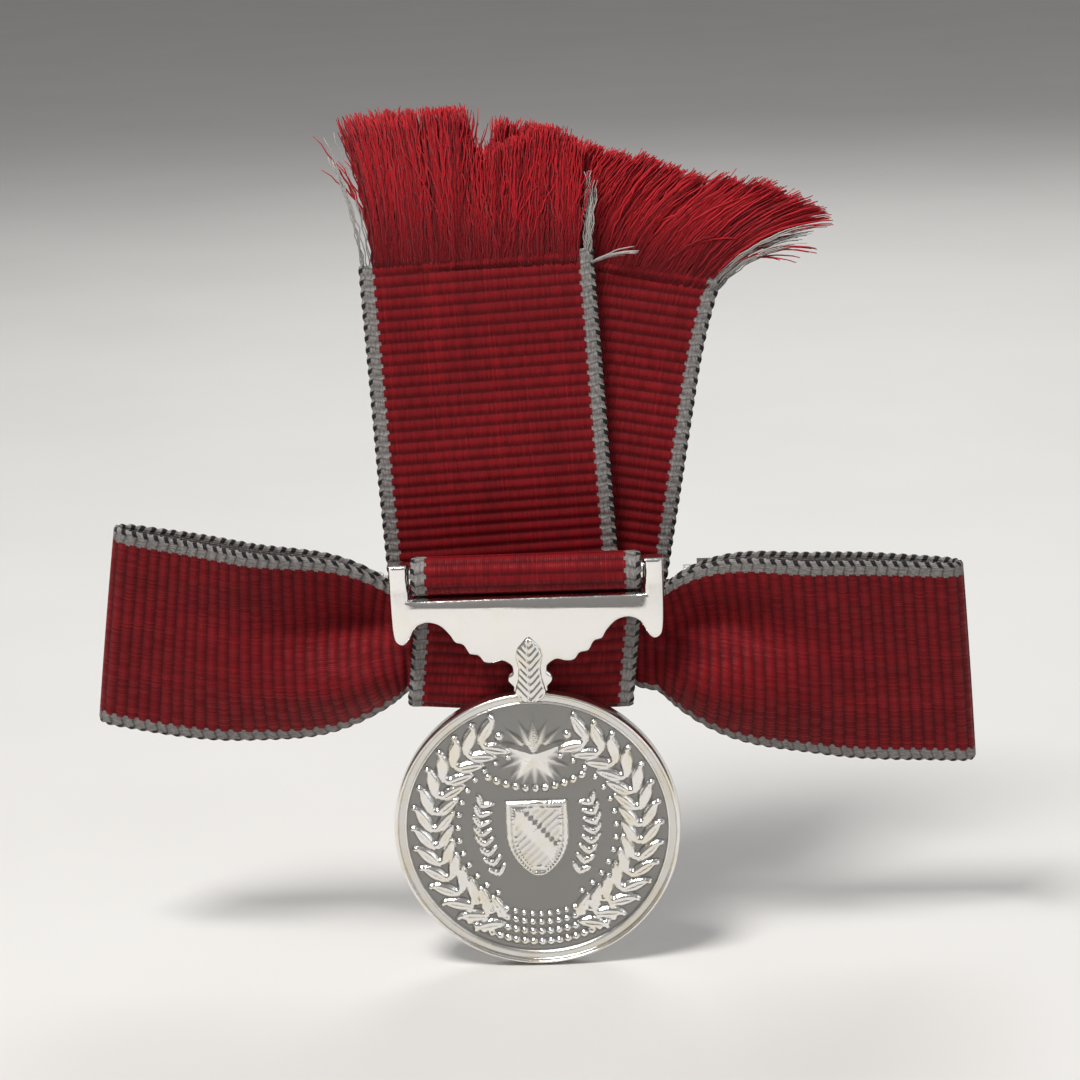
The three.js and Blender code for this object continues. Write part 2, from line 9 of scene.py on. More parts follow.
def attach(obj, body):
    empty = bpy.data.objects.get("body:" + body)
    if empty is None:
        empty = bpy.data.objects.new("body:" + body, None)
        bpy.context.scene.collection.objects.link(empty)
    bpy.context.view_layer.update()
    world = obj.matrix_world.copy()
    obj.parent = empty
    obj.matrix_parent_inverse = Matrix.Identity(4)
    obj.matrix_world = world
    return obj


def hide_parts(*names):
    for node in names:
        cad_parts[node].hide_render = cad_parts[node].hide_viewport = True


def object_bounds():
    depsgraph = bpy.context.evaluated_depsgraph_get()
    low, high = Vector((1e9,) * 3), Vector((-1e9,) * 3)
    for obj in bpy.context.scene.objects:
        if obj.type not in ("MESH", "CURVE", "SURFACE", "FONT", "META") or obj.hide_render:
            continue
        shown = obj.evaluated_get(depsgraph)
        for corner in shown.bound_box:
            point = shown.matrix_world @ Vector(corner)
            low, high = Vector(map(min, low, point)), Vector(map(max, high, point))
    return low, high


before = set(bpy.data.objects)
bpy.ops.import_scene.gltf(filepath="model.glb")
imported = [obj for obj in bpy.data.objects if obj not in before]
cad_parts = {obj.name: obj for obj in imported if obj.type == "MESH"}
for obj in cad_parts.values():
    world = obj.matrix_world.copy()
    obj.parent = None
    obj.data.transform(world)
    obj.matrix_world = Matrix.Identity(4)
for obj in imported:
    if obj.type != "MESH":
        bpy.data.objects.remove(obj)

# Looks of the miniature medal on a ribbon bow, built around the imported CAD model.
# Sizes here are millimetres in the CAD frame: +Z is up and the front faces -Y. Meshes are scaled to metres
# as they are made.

MM = 0.001
CAD_LOW, CAD_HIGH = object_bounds()

# ---- Driving dimensions ----

RIBBON_WIDTH = 16.0
RIB_PITCH = 0.76
RIB_STEPS = 6          # rows of mesh in one rib
RIB_HEIGHT = 0.11
WEAVE_HALF = 0.13      # half the ribbon's thickness between two ribs
SELVEDGE = 0.95
SELVEDGE_STEP = 0.14   # how far the selvedge's inner edge moves between a rib's valley and its crest
OUTER_COLUMN_START = 0.24    # the selvedge's dark outer column ends between these shares of its width
OUTER_COLUMN_END = 0.36
SCALLOP = 0.1          # how far a rib pushes the ribbon's edge out
WARP_PITCH = 0.15      # between two fine threads that run along the ribbon

BAR_Y = -9.5
BAR_Z = 5.55

BAND_WIDTH = 15.4
BAND_FRONT_Y = -8.15
BAND_REAR_Y = -4.75
BAND_WRAP_RADIUS = 1.1
BAND_SLOPE = math.radians(20)
BAND_BOTTOM_Z = -4.3
BAND_DRIFT = 0.9
BAND_DRIFT_FROM_Z = 3.0
BAND_SMILE = 0.3       # how far its ribs sag in the middle
BAND_TILT = 0.045      # how far its lower end slopes down to the right
BAND_CROWN = 0.15      # how far its middle stands forward

BOW_MIDDLE_Y = -6.4
LEFT_REACH = 29.3
RIGHT_REACH = 29.9
FOLD_RADIUS = 1.3
KNOT_HALF_GAP = 0.8
LOOP_BULGE = 0.5
KNOT_HALF_LENGTH = 8.6
PINCH = 0.42
LEFT_OPENING_LENGTH = 4.5
RIGHT_OPENING_LENGTH = 3.8
LOOP_OPEN_X = 20.0
LOOP_LEAN = math.radians(15.5)
REAR_LAYER_RISE = -0.15
LEFT_RISE = 2.03
LEFT_RISE_START_X = 15.0
LEFT_RISE_POWER = 1.6
RIGHT_DROOP = 2.5
RIGHT_DROOP_START_X = 7.0
RIGHT_DROOP_POWER = 0.6
SKEW_START_X = 12.0
LEFT_SKEW = math.radians(11.5)
RIGHT_SKEW = math.radians(-4.4)

FOLDS_PEAK = 3.0       # the folds outside the knot are deepest this far from it

TAIL_START_Z = -3.0
TAIL_LEFT_Y = -3.9
TAIL_RIGHT_Y = -2.8
LEFT_TAIL_X = -1.6
RIGHT_TAIL_X = 0.15
LEFT_TAIL_LEAN = math.radians(-2.4)
RIGHT_TAIL_LEAN = math.radians(10.5)
LEFT_TAIL_LENGTH = (26.2 - TAIL_START_Z) / math.cos(LEFT_TAIL_LEAN)
RIGHT_TAIL_LENGTH = 29.0
TAIL_CURL_START_Z = 6.0
TAIL_CURL = 1.3        # how far back the weave's end lies
TAIL_CURL_SPAN = 20.0
TAIL_RIPPLE = 0.12     # height of a slight wave up the tail
FLARE_START_Z = 17.0   # the right tail widens from here up
FLARE_SPAN = 9.0
RIGHT_FLARE = 1.0
ROOT_INSET = 0.35      # strands start this far inside the weave's end
ROOT_DROP = 0.8        # strands leave the weave this much lower at its right edge
STRAND_POINTS = 14
FRINGE_STRANDS = 2100  # in each fringe
TUFTS = 26             # in each fringe
LEFT_SEED = 11
RIGHT_SEED = 31

PLATE_FRONT_Y = -10.3
PLATE_BACK_Y = -8.9
PLATE_TOP_Z = 4.1
LUG_TOP_Z = 6.5
LUG_INNER_X = 8.0
LUG_OUTER_X = 9.3
SLOPE_HEIGHT = 0.75    # the slope along the slot
SLOPE_DEPTH = 0.2
SLOPE_END_X = 8.25
CROWN = 0.12           # how far the plate's middle stands forward
PLATE_BEVEL = 0.28

CLAW_LOW_Z = -3.25
CLAW_HIGH_Z = 1.3
SIDE_VEIN_PITCH = 0.52

DISC_RADIUS = 9.9
DISC_CENTRE_Z = -12.6
DISC_FRONT_Y = -10.3
DISC_BACK_Y = -8.7
FIELD_DEPTH = 0.42
RELIEF_SHARE = 0.82    # height of the design over that of the rim
FIELD_RADIUS = 9.0
INNER_RING_RADIUS = 9.12
OUTER_BEAD_WIDTH = 0.34
DISC_SEGMENTS = 500
WREATH_PAIRS = 14      # pairs of leaves up each side
WREATH_START = -63     # degrees up from the disc's right side, and then the step between pairs
WREATH_STEP = 9.9
BERRY_START = -58
SPRAY_PAIRS = 8
STAR_Z = 5.35          # heights over the disc's centre
SHIELD_Z = -0.35

# ---- Small helpers ----


def smoothstep(value, start, end):
    share = np.clip((value - start) / (end - start), 0.0, 1.0)
    return share * share * (3 - 2 * share)


def rib_wave(along, pitch):
    """0 in the valley between two ribs and 1 on a rib's crest."""
    return np.abs(np.sin(np.pi * along / pitch))


def bell(value, middle, width):
    """A bell curve that is 1 at its middle."""
    return np.exp(-(((value - middle) / width) ** 2))


def points_at(x, y, z):
    """Points from three coordinates, each of which may be a grid, a row, a column or one number."""
    return np.stack(np.broadcast_arrays(x, y, z), -1)


def counters(*counts):
    """Flat arrays that hold every combination of whole numbers below these counts."""
    return (grid.ravel() for grid in np.meshgrid(*map(np.arange, counts), indexing="ij"))


def distance_along(line):
    """Distance of each point of a line from its first one, measured along the line."""
    return np.concatenate([[0], np.cumsum(np.linalg.norm(np.diff(line, axis=0), axis=1))])


def add_object(name, data):
    """A new object in the scene."""
    thing = bpy.data.objects.new(name, data)
    bpy.context.scene.collection.objects.link(thing)
    return thing


def make_mesh(name, points, faces, material, uv):
    """A smooth mesh object from points in millimetres. uv has a pair for each corner of each face."""
    mesh = bpy.data.meshes.new(name)
    mesh.from_pydata((np.asarray(points).reshape(-1, 3) * MM).tolist(), [], faces)
    layer = mesh.uv_layers.new(name="surface")
    layer.data.foreach_set("uv", np.asarray(uv, np.float32).ravel())
    mesh.shade_smooth()
    mesh.materials.append(material)
    return add_object(name, mesh)


def sheet_corners(steps, columns, closed):
    """Corners (side, row, column) of each quad of a thickened sheet. Side 0 is the front. A closed sheet's
    first row is also numbered as the one after its last, so that a pattern runs over the join."""
    row, column = counters(steps, columns - 1)
    rows = np.arange(steps)
    first, last = np.zeros(steps, int), np.full(steps, columns - 1)
    across = np.arange(columns - 1)

    def quads(*corners):
        return np.stack([np.stack(np.broadcast_arrays(*corner), -1) for corner in corners], 1)

    parts = [
        quads((0, row, column), (0, row + 1, column), (0, row + 1, column + 1), (0, row, column + 1)),
        quads((1, row, column), (1, row, column + 1), (1, row + 1, column + 1), (1, row + 1, column)),
        quads((0, rows + 1, first), (0, rows, first), (1, rows, first), (1, rows + 1, first)),
        quads((0, rows, last), (0, rows + 1, last), (1, rows + 1, last), (1, rows, last)),
    ]
    if not closed:
        parts.append(quads((0, 0, across), (0, 0, across + 1), (1, 0, across + 1), (1, 0, across)))
        parts.append(
            quads((0, steps, across + 1), (0, steps, across), (1, steps, across), (1, steps, across + 1))
        )
    return np.concatenate(parts)


def sheet_mesh(name, front, back, along, across, closed, material):
    """A closed mesh between two grids of points, with the distances along and across as its pattern space."""
    rows, columns = front.shape[:2]
    steps = rows if closed else rows - 1
    corners = sheet_corners(steps, columns, closed)
    side, row, column = corners[..., 0], corners[..., 1], corners[..., 2]
    faces = side * rows * columns + (row % rows) * columns + column
    uv = np.stack([along[row], across[column]], -1)
    return make_mesh(name, np.concatenate([front, back]), faces.tolist(), material, uv)


def grid_normals(points, closed):
    """Unit normals of a grid of points."""
    if closed:
        along = np.roll(points, -1, 0) - np.roll(points, 1, 0)
    else:
        along = np.gradient(points, axis=0)
    normals = np.cross(along, np.gradient(points, axis=1))
    return normals / np.linalg.norm(normals, axis=-1, keepdims=True)


def ribbon_columns(width):
    """Distances across a ribbon, closer together in its selvedges."""
    half = width / 2
    edge = np.array([0.0, 0.1, 0.26, 0.5, 0.8, SELVEDGE])
    body = np.linspace(SELVEDGE - half, half - SELVEDGE, 21)
    return np.concatenate([edge - half, body[1:-1], half - edge[::-1]])


def make_ribbon(name, place, length, width, closed, material):
    """Ribbed ribbon. place(along, across) gives the middle of its thickness, in millimetres."""
    ribs = round(length / RIB_PITCH)
    pitch = length / ribs
    rows = ribs * RIB_STEPS + (0 if closed else 1)
    along = np.arange(rows) * pitch / RIB_STEPS
    across = ribbon_columns(width)
    crest = rib_wave(along, pitch)[:, None]
    inset = width / 2 - np.abs(across)
    spread = across + np.sign(across) * SCALLOP * crest * np.clip(1 - inset / SELVEDGE, 0, 1)
    middle = place(along[:, None], spread)
    rounding = np.sqrt(np.clip(0.2 + inset / 0.3, 0, 1))
    half = (WEAVE_HALF + RIB_HEIGHT * crest) * rounding
    offset = grid_normals(middle, closed) * half[..., None]
    # The pattern's ribs are one unit long, whatever this ribbon's pitch is
    units = np.arange(rows + 1) / RIB_STEPS
    return sheet_mesh(name, middle + offset, middle - offset, units, across, closed, material)


# ---- Materials ----


class Nodes:
    """A material's node tree with one call for each kind of node."""

    def __init__(self, name):
        self.material = bpy.data.materials.new(name)
        self.material.use_nodes = True
        self.tree = self.material.node_tree
        self.shader = self.tree.nodes["Principled BSDF"]

    def put(self, socket, value):
        if isinstance(value, bpy.types.NodeSocket):
            self.tree.links.new(value, socket)
        else:
            socket.default_value = value

    def math(self, operation, a, b=0.0):
        node = self.tree.nodes.new("ShaderNodeMath")
        node.operation = operation
        self.put(node.inputs[0], a)
        self.put(node.inputs[1], b)
        return node.outputs[0]

    def times(self, a, b):
        return self.math("MULTIPLY", a, b)

    def plus(self, a, b):
        return self.math("ADD", a, b)

    def hump(self, value):
        """0 where value is a whole number and 1 halfway between two of them."""
        return self.math("ABSOLUTE", self.math("SINE", self.times(value, math.pi)))

    def ramp(self, value, start, end, low=0.0, high=1.0):
        """value taken smoothly from low at start to high at end."""
        node = self.tree.nodes.new("ShaderNodeMapRange")
        node.interpolation_type = "SMOOTHSTEP"
        for socket, number in zip(node.inputs[:5], (value, start, end, low, high)):
            self.put(socket, number)
        return node.outputs[0]

    def mix(self, share, first, second):
        """A colour between two colours."""
        node = self.tree.nodes.new("ShaderNodeMix")
        node.data_type = "RGBA"
        self.put(node.inputs["Factor"], share)
        self.put(node.inputs[6], first)
        self.put(node.inputs[7], second)
        return node.outputs[2]

    def mix_numbers(self, share, first, second):
        node = self.tree.nodes.new("ShaderNodeMix")
        self.put(node.inputs["Factor"], share)
        self.put(node.inputs[2], first)
        self.put(node.inputs[3], second)
        return node.outputs[0]

    def noise(self, vector, scale, detail=2.0):
        node = self.tree.nodes.new("ShaderNodeTexNoise")
        self.put(node.inputs["Vector"], vector)
        node.inputs["Scale"].default_value = scale
        node.inputs["Detail"].default_value = detail
        return node.outputs["Fac"]

    def random(self, vector):
        node = self.tree.nodes.new("ShaderNodeTexWhiteNoise")
        self.put(node.inputs["Vector"], vector)
        return node.outputs["Value"]

    def join(self, x, y, z=0.0):
        node = self.tree.nodes.new("ShaderNodeCombineXYZ")
        for socket, value in zip(node.inputs, (x, y, z)):
            self.put(socket, value)
        return node.outputs[0]

    def split_uv(self):
        """The two numbers of the mesh's pattern space."""
        uv = self.tree.nodes.new("ShaderNodeUVMap")
        uv.uv_map = "surface"
        node = self.tree.nodes.new("ShaderNodeSeparateXYZ")
        self.put(node.inputs[0], uv.outputs[0])
        return node.outputs[0], node.outputs[1]

    def place(self):
        """Position on the object in metres."""
        return self.tree.nodes.new("ShaderNodeTexCoord").outputs["Object"]

    def bump(self, height, distance):
        """Relief up to distance millimetres high."""
        node = self.tree.nodes.new("ShaderNodeBump")
        node.inputs["Strength"].default_value = 1.0
        node.inputs["Distance"].default_value = distance * MM
        self.put(node.inputs["Height"], height)
        self.put(self.shader.inputs["Normal"], node.outputs[0])

    def finish(self, **sockets):
        for name, value in sockets.items():
            self.put(self.shader.inputs[name.replace("_", " ")], value)
        return self.material


# The deep crimson is both a darker random thread tone and painted shade in the rib valleys and between the
# warp threads. The bright crimson is both a random streak tone and a painted highlight on the rib crests.
CRIMSON = (0.185, 0.0042, 0.0082, 1)
CRIMSON_DEEP_AND_SHADE = (0.052, 0.0011, 0.0024, 1)
CRIMSON_BRIGHT_AND_HIGHLIGHT = (0.30, 0.0085, 0.013, 1)
PEARL = (0.27, 0.255, 0.245, 1)
PEARL_DARK = (0.014, 0.013, 0.014, 1)
FRINGE_ROOT = (0.165, 0.0040, 0.0075, 1)
FRINGE_TIP = (0.42, 0.0095, 0.017, 1)
FRINGE_SHADOW = (0.075, 0.0015, 0.0035, 1)
GREY_ROOT = (0.22, 0.21, 0.20, 1)
GREY_TIP = (0.40, 0.38, 0.36, 1)
GREY_SHADOW = (0.09, 0.085, 0.08, 1)
SILVER_BRIGHT = (0.90, 0.885, 0.86, 1)
# The struck field's grey is a painted dark reflection, far darker than silver itself
SILVER_FIELD_PAINTED_REFLECTION = (0.30, 0.295, 0.285, 1)
SILVER_WARM = (0.86, 0.80, 0.66, 1)
NICKEL = (0.66, 0.65, 0.62, 1)
NICKEL_DULL = (0.42, 0.41, 0.39, 1)
FELT_DARK = (0.045, 0.0025, 0.005, 1)
FELT_LIGHT = (0.15, 0.009, 0.016, 1)
FELT_BLOTCH = (0.085, 0.004, 0.008, 1)
THREAD_DARK = (0.10, 0.004, 0.008, 1)
THREAD_LIGHT = (0.26, 0.012, 0.02, 1)
FLOOR_DARK = (0.60, 0.59, 0.575, 1)
FLOOR_LIGHT = (0.66, 0.65, 0.635, 1)


def grosgrain(name, width):
    """Crimson grosgrain with pearl-grey selvedges, with painted shade in the rib valleys and between the warp
    threads and a painted highlight on the rib crests. The pattern space is ribs along and millimetres across.
    """
    nodes = Nodes(name)
    ribs, across = nodes.split_uv()
    rib = nodes.math("FLOOR", ribs)
    crest = nodes.hump(ribs)
    warp = nodes.math("DIVIDE", across, WARP_PITCH)
    warp_crest = nodes.hump(warp)
    thread = nodes.random(nodes.join(nodes.math("FLOOR", warp), rib))
    streak = nodes.random(nodes.join(nodes.math("FLOOR", warp), 0.5))
    cloud = nodes.noise(nodes.join(nodes.times(ribs, 0.3), across), 0.35)

    # Painted shade: the colour darkens in the valleys between ribs, where shade falls
    body = nodes.mix(nodes.ramp(crest, 0.0, 0.75, 0.25, 1.0), CRIMSON_DEEP_AND_SHADE, CRIMSON)
    # Painted highlight: the colour lightens on the ribs' crests
    body = nodes.mix(nodes.times(nodes.ramp(crest, 0.75, 1.0), 0.35), body, CRIMSON_BRIGHT_AND_HIGHLIGHT)
    body = nodes.mix(nodes.times(thread, 0.38), body, CRIMSON_DEEP_AND_SHADE)
    body = nodes.mix(nodes.ramp(streak, 0.75, 1.0, 0.0, 0.22), body, CRIMSON_BRIGHT_AND_HIGHLIGHT)
    body = nodes.mix(nodes.ramp(cloud, 0.35, 0.7, 0.0, 0.25), body, CRIMSON_DEEP_AND_SHADE)
    # Painted shade: darker in the narrow gaps between the fine warp threads
    body = nodes.mix(nodes.ramp(warp_crest, 0.5, 0.0, 0.0, 0.3), body, CRIMSON_DEEP_AND_SHADE)

    # The selvedge is a light column with greyer gaps, edged with a narrow column of slanted dark stitches
    inset = nodes.math("SUBTRACT", width / 2, nodes.math("ABSOLUTE", across))
    column = nodes.math("DIVIDE", inset, SELVEDGE)
    jitter = nodes.times(nodes.random(nodes.join(rib, 0.25)), 0.16)
    slant = nodes.plus(nodes.plus(ribs, jitter), nodes.times(column, 0.35))
    slant_back = nodes.math("SUBTRACT", nodes.plus(slant, 0.5), nodes.times(column, 1.1))
    inner = nodes.ramp(nodes.hump(slant), 0.0, 0.5, 0.45, 1.0)
    outer = nodes.ramp(nodes.hump(slant_back), 0.55, 0.75)
    light = nodes.mix_numbers(nodes.ramp(column, OUTER_COLUMN_START, OUTER_COLUMN_END), outer, inner)
    fuzz = nodes.noise(nodes.join(nodes.times(ribs, 2.0), nodes.times(across, 7.0)), 1.0)
    share = nodes.times(light, nodes.ramp(fuzz, 0.3, 0.7, 0.55, 1.0))
    edge = nodes.mix(share, PEARL_DARK, PEARL)
    # On a rib's crest the red reaches further out than in the valley beside it
    step = nodes.times(nodes.ramp(crest, 0.45, 0.6), SELVEDGE_STEP)
    in_selvedge = nodes.ramp(nodes.plus(inset, step), SELVEDGE + 0.12, SELVEDGE + 0.02)
    colour = nodes.mix(in_selvedge, body, edge)

    fibre = nodes.noise(nodes.join(nodes.times(ribs, 1.5), nodes.times(across, 14.0)), 1.6)
    nodes.bump(nodes.plus(nodes.times(warp_crest, 0.6), nodes.times(fibre, 0.6)), 0.035)
    roughness = nodes.ramp(thread, 0.0, 1.0, 0.5, 0.72)
    return nodes.finish(Base_Color=colour, Roughness=roughness, Sheen_Weight=0.06, Sheen_Roughness=0.4,
                        Sheen_Tint=(1.0, 0.25, 0.25, 1), Specular_IOR_Level=0.14)


def silk_fringe(name, root, tip, shadow):
    """Unravelled silk. The pattern space is the share of a strand's length and the strand's own tone."""
    nodes = Nodes(name)
    share, tone = nodes.split_uv()
    colour = nodes.mix(nodes.ramp(share, 0.0, 0.75), root, tip)
    colour = nodes.mix(nodes.ramp(tone, 0.0, 0.6, 0.75, 0.0), colour, shadow)
    strand = nodes.noise(nodes.join(nodes.times(share, 30.0), nodes.times(tone, 50.0)), 1.0)
    nodes.bump(strand, 0.02)
    roughness = nodes.ramp(strand, 0.3, 0.7, 0.4, 0.62)
    return nodes.finish(Base_Color=colour, Roughness=roughness, Sheen_Weight=0.05, Sheen_Roughness=0.4,
                        Specular_IOR_Level=0.2)


def polished_silver(name):
    """Bright silver with faint ripples, handling scratches and a little warm tarnish."""
    nodes = Nodes(name)
    place = nodes.place()
    ripple = nodes.noise(place, 220.0, 1.0)
    grain = nodes.noise(place, 5200.0, 3.0)
    tarnish = nodes.noise(place, 420.0, 3.0)
    colour = nodes.mix(nodes.ramp(tarnish, 0.5, 0.75, 0.0, 0.35), SILVER_BRIGHT, SILVER_WARM)
    height = nodes.plus(nodes.times(ripple, 2.0), nodes.times(grain, 0.05))
    nodes.bump(height, 0.03)
    roughness = nodes.ramp(grain, 0.3, 0.7, 0.09, 0.2)
    return nodes.finish(Base_Color=colour, Roughness=roughness, Metallic=1.0)


def struck_silver(name):
    """Silver with a rougher satin field and bright relief; the field's darker grey colour is a painted dark
    reflection. The pattern space starts with the relief's height.
    """
    nodes = Nodes(name)
    height, _ = nodes.split_uv()
    place = nodes.place()
    grain = nodes.noise(place, 9000.0, 2.0)
    tarnish = nodes.noise(place, 600.0, 3.0)
    bright = nodes.mix(nodes.ramp(tarnish, 0.42, 0.7, 0.0, 0.75), SILVER_BRIGHT, SILVER_WARM)
    raised = nodes.ramp(height, 0.06, 0.42)
    # Painted reflection: the field is coloured dark grey as if it mirrored dark surroundings, and the raised
    # design is bright silver
    colour = nodes.mix(raised, SILVER_FIELD_PAINTED_REFLECTION, bright)
    nodes.bump(grain, 0.012)
    roughness = nodes.ramp(raised, 0.0, 1.0, 0.36, 0.16)
    return nodes.finish(Base_Color=colour, Roughness=roughness, Metallic=1.0)


def plated_steel(name):
    """Nickel-plated steel with fine brushing along X and dulled patches."""
    nodes = Nodes(name)
    place = nodes.place()
    split = nodes.tree.nodes.new("ShaderNodeSeparateXYZ")
    nodes.put(split.inputs[0], place)
    x, y, z = split.outputs
    brushed = nodes.join(nodes.times(x, 300.0), nodes.times(y, 9000.0),
                         nodes.times(z, 9000.0))
    brushing = nodes.noise(brushed, 1.0, 2.0)
    patch = nodes.noise(place, 260.0, 3.0)
    colour = nodes.mix(nodes.ramp(patch, 0.42, 0.72, 0.0, 0.7), NICKEL, NICKEL_DULL)
    nodes.bump(brushing, 0.012)
    roughness = nodes.plus(nodes.ramp(patch, 0.3, 0.7, 0.2, 0.36), nodes.times(brushing, 0.1))
    return nodes.finish(Base_Color=colour, Roughness=roughness, Metallic=1.0)


def felt(name):
    """Matted wool felt."""
    nodes = Nodes(name)
    place = nodes.place()
    fibres = nodes.noise(place, 3200.0, 5.0)
    blotch = nodes.noise(place, 500.0, 3.0)
    colour = nodes.mix(nodes.ramp(fibres, 0.3, 0.72), FELT_DARK, FELT_LIGHT)
    colour = nodes.mix(nodes.ramp(blotch, 0.4, 0.7, 0.0, 0.4), colour, FELT_BLOTCH)
    nodes.bump(fibres, 0.09)
    return nodes.finish(Base_Color=colour, Roughness=0.95, Sheen_Weight=0.2, Sheen_Roughness=0.6,
                        Sheen_Tint=(1.0, 0.4, 0.4, 1))


def sewing_thread(name):
    """Twisted crimson sewing thread. The pattern space is the share of its length and a strand's tone."""
    nodes = Nodes(name)
    share, tone = nodes.split_uv()
    fibre = nodes.noise(nodes.join(nodes.times(share, 900.0), nodes.times(tone, 9.0)), 1.0)
    colour = nodes.mix(nodes.ramp(fibre, 0.3, 0.7), THREAD_DARK, THREAD_LIGHT)
    nodes.bump(fibre, 0.02)
    return nodes.finish(Base_Color=colour, Roughness=0.6, Sheen_Weight=0.2)


# ---- Bow ----


def bow_plan(turn):
    """Place round the bow seen from above: x, and layer from -1 at the front to 1 at the back."""
    straight = 0.36        # share of the turn that one straight stretch takes
    fold = 0.5 - straight
    left = FOLD_RADIUS - LEFT_REACH
    right = RIGHT_REACH - FOLD_RADIUS
    turn = np.mod(turn + straight / 2, 1.0)
    right_angle = ((turn - straight) / fold - 0.5) * np.pi
    left_angle = ((turn - 0.5 - straight) / fold + 0.5) * np.pi
    stretch = [turn < straight, turn < 0.5, turn < 0.5 + straight]
    x = np.select(
        stretch,
        [
            left + (right - left) * turn / straight,
            right + FOLD_RADIUS * np.cos(right_angle),
            right + (left - right) * (turn - 0.5) / straight,
        ],
        left + FOLD_RADIUS * np.cos(left_angle),
    )
    front, back = -np.ones_like(turn), np.ones_like(turn)
    layer = np.select(stretch, [front, np.sin(right_angle), back], np.sin(left_angle))
    return x, layer


def gather(beyond, share):
    """Folds of a loop just outside the knot: how far the cloth stands forward, and how far it is pushed out.
    share runs from 0 at the bottom edge to 1 at the top one."""
    near = beyond / FOLDS_PEAK * np.exp(1 - beyond / FOLDS_PEAK)
    swell = bell(share, 0.30, 0.17)
    valley = bell(share, 0.64, 0.15)
    curl = bell(share, -0.04, 0.13)
    crease = bell(share, 0.50, 0.05) - bell(share, 0.84, 0.06)
    forward = near * (1.15 * swell - 1.6 * valley - 1.9 * curl) + 0.25 * crease * np.exp(-beyond / 4.0)
    outward = 1.1 * np.clip(beyond / 1.5, 0, 1) * np.exp(-beyond / 6.0) * np.sin(np.pi * np.clip(share, 0, 1))
    return forward, outward


def bow_place(turn, across):
    """Middle of the bow ribbon's thickness."""
    x, layer = bow_plan(turn)
    is_left = x < 0
    distance = np.abs(x)
    reach = np.where(is_left, LEFT_REACH, RIGHT_REACH)
    opening = np.where(is_left, LEFT_OPENING_LENGTH, RIGHT_OPENING_LENGTH)
    beyond = np.maximum(0, distance - KNOT_HALF_LENGTH)
    width = 1 - (1 - PINCH) * np.exp(-beyond / opening)
    outward = smoothstep(distance, KNOT_HALF_LENGTH, LOOP_OPEN_X)
    lean = LOOP_LEAN * outward
    skew = np.where(is_left, LEFT_SKEW, RIGHT_SKEW) * smoothstep(distance, SKEW_START_X, reach)
    bulge = LOOP_BULGE * np.sin(np.pi * np.minimum(1, beyond / (reach - KNOT_HALF_LENGTH)))
    half_gap = KNOT_HALF_GAP + (FOLD_RADIUS - KNOT_HALF_GAP) * outward + bulge
    past_rise = np.maximum(0, distance - LEFT_RISE_START_X) / (LEFT_REACH - LEFT_RISE_START_X)
    past_droop = np.maximum(0, distance - RIGHT_DROOP_START_X) / (RIGHT_REACH - RIGHT_DROOP_START_X)
    rise = LEFT_RISE * past_rise**LEFT_RISE_POWER
    droop = RIGHT_DROOP * past_droop**RIGHT_DROOP_POWER
    middle_z = np.where(is_left, rise, -droop)
    forward, pushed = gather(beyond, across / RIBBON_WIDTH + 0.5)
    # The rear layer follows the front one's folds a little, so that they stay apart
    depth = np.where(layer < 0, forward, -0.3 * forward) * layer
    wave = 0.16 * np.sin(distance * 0.55 + across * 0.12) * smoothstep(distance, 12.0, 20.0)
    spread = across * width
    return points_at(
        x + spread * np.cos(lean) * np.sin(skew) + np.sign(x) * pushed,
        BOW_MIDDLE_Y + layer * half_gap - spread * np.sin(lean) + depth + wave,
        middle_z + spread * np.cos(lean) * np.cos(skew) + layer * REAR_LAYER_RISE,
    )


def build_bow(material):
    turns = np.linspace(0, 1, 4001)
    line = bow_place(turns, np.zeros_like(turns))
    distance = distance_along(line)
    length = distance[-1]

    def place(along, across):
        return bow_place(np.interp(along, distance, turns), across)

    bow = make_ribbon("bow_ribbon_cloth", place, length, RIBBON_WIDTH, True, material)
    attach(bow, "bow")
    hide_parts("bow_ribbon")


# ---- Centre band ----


def arc(centre, radius, start, end):
    """Points (y, z) on an arc, with angles in degrees from +Y towards +Z."""
    angles = np.radians(np.linspace(start, end, 60))
    return np.stack([centre[0] + radius * np.cos(angles), centre[1] + radius * np.sin(angles)], -1)


def band_line():
    """The band's line in y and z: up behind the knot, on up a slope to the ribbon bar, round it, through the
    slot, and down the front of the knot."""
    rear_radius = 1.25
    slot_radius = 0.85
    foot_radius = 1.1
    slope_end = math.pi / 2 - BAND_SLOPE
    rear_y = BAND_REAR_Y - rear_radius
    run = rear_y + rear_radius * math.cos(slope_end) - BAR_Y - BAND_WRAP_RADIUS * math.cos(slope_end)
    end_z = BAR_Z + BAND_WRAP_RADIUS * math.sin(slope_end)
    rear_z = end_z - run * math.tan(BAND_SLOPE) - rear_radius * math.sin(slope_end)
    slope_angle = math.degrees(slope_end)
    wrap_bottom = BAR_Z - BAND_WRAP_RADIUS
    foot_z = BAND_BOTTOM_Z + foot_radius
    return np.concatenate([
        [(BAND_REAR_Y, foot_z)],
        arc((rear_y, rear_z), rear_radius, 0, slope_angle),
        arc((BAR_Y, BAR_Z), BAND_WRAP_RADIUS, slope_angle, 270),
        arc((BAND_FRONT_Y - slot_radius, wrap_bottom - slot_radius), slot_radius, 90, 0),
        arc((BAND_FRONT_Y + foot_radius, foot_z), foot_radius, 180, 270),
        arc((BAND_REAR_Y - foot_radius, foot_z), foot_radius, 270, 360),
    ])


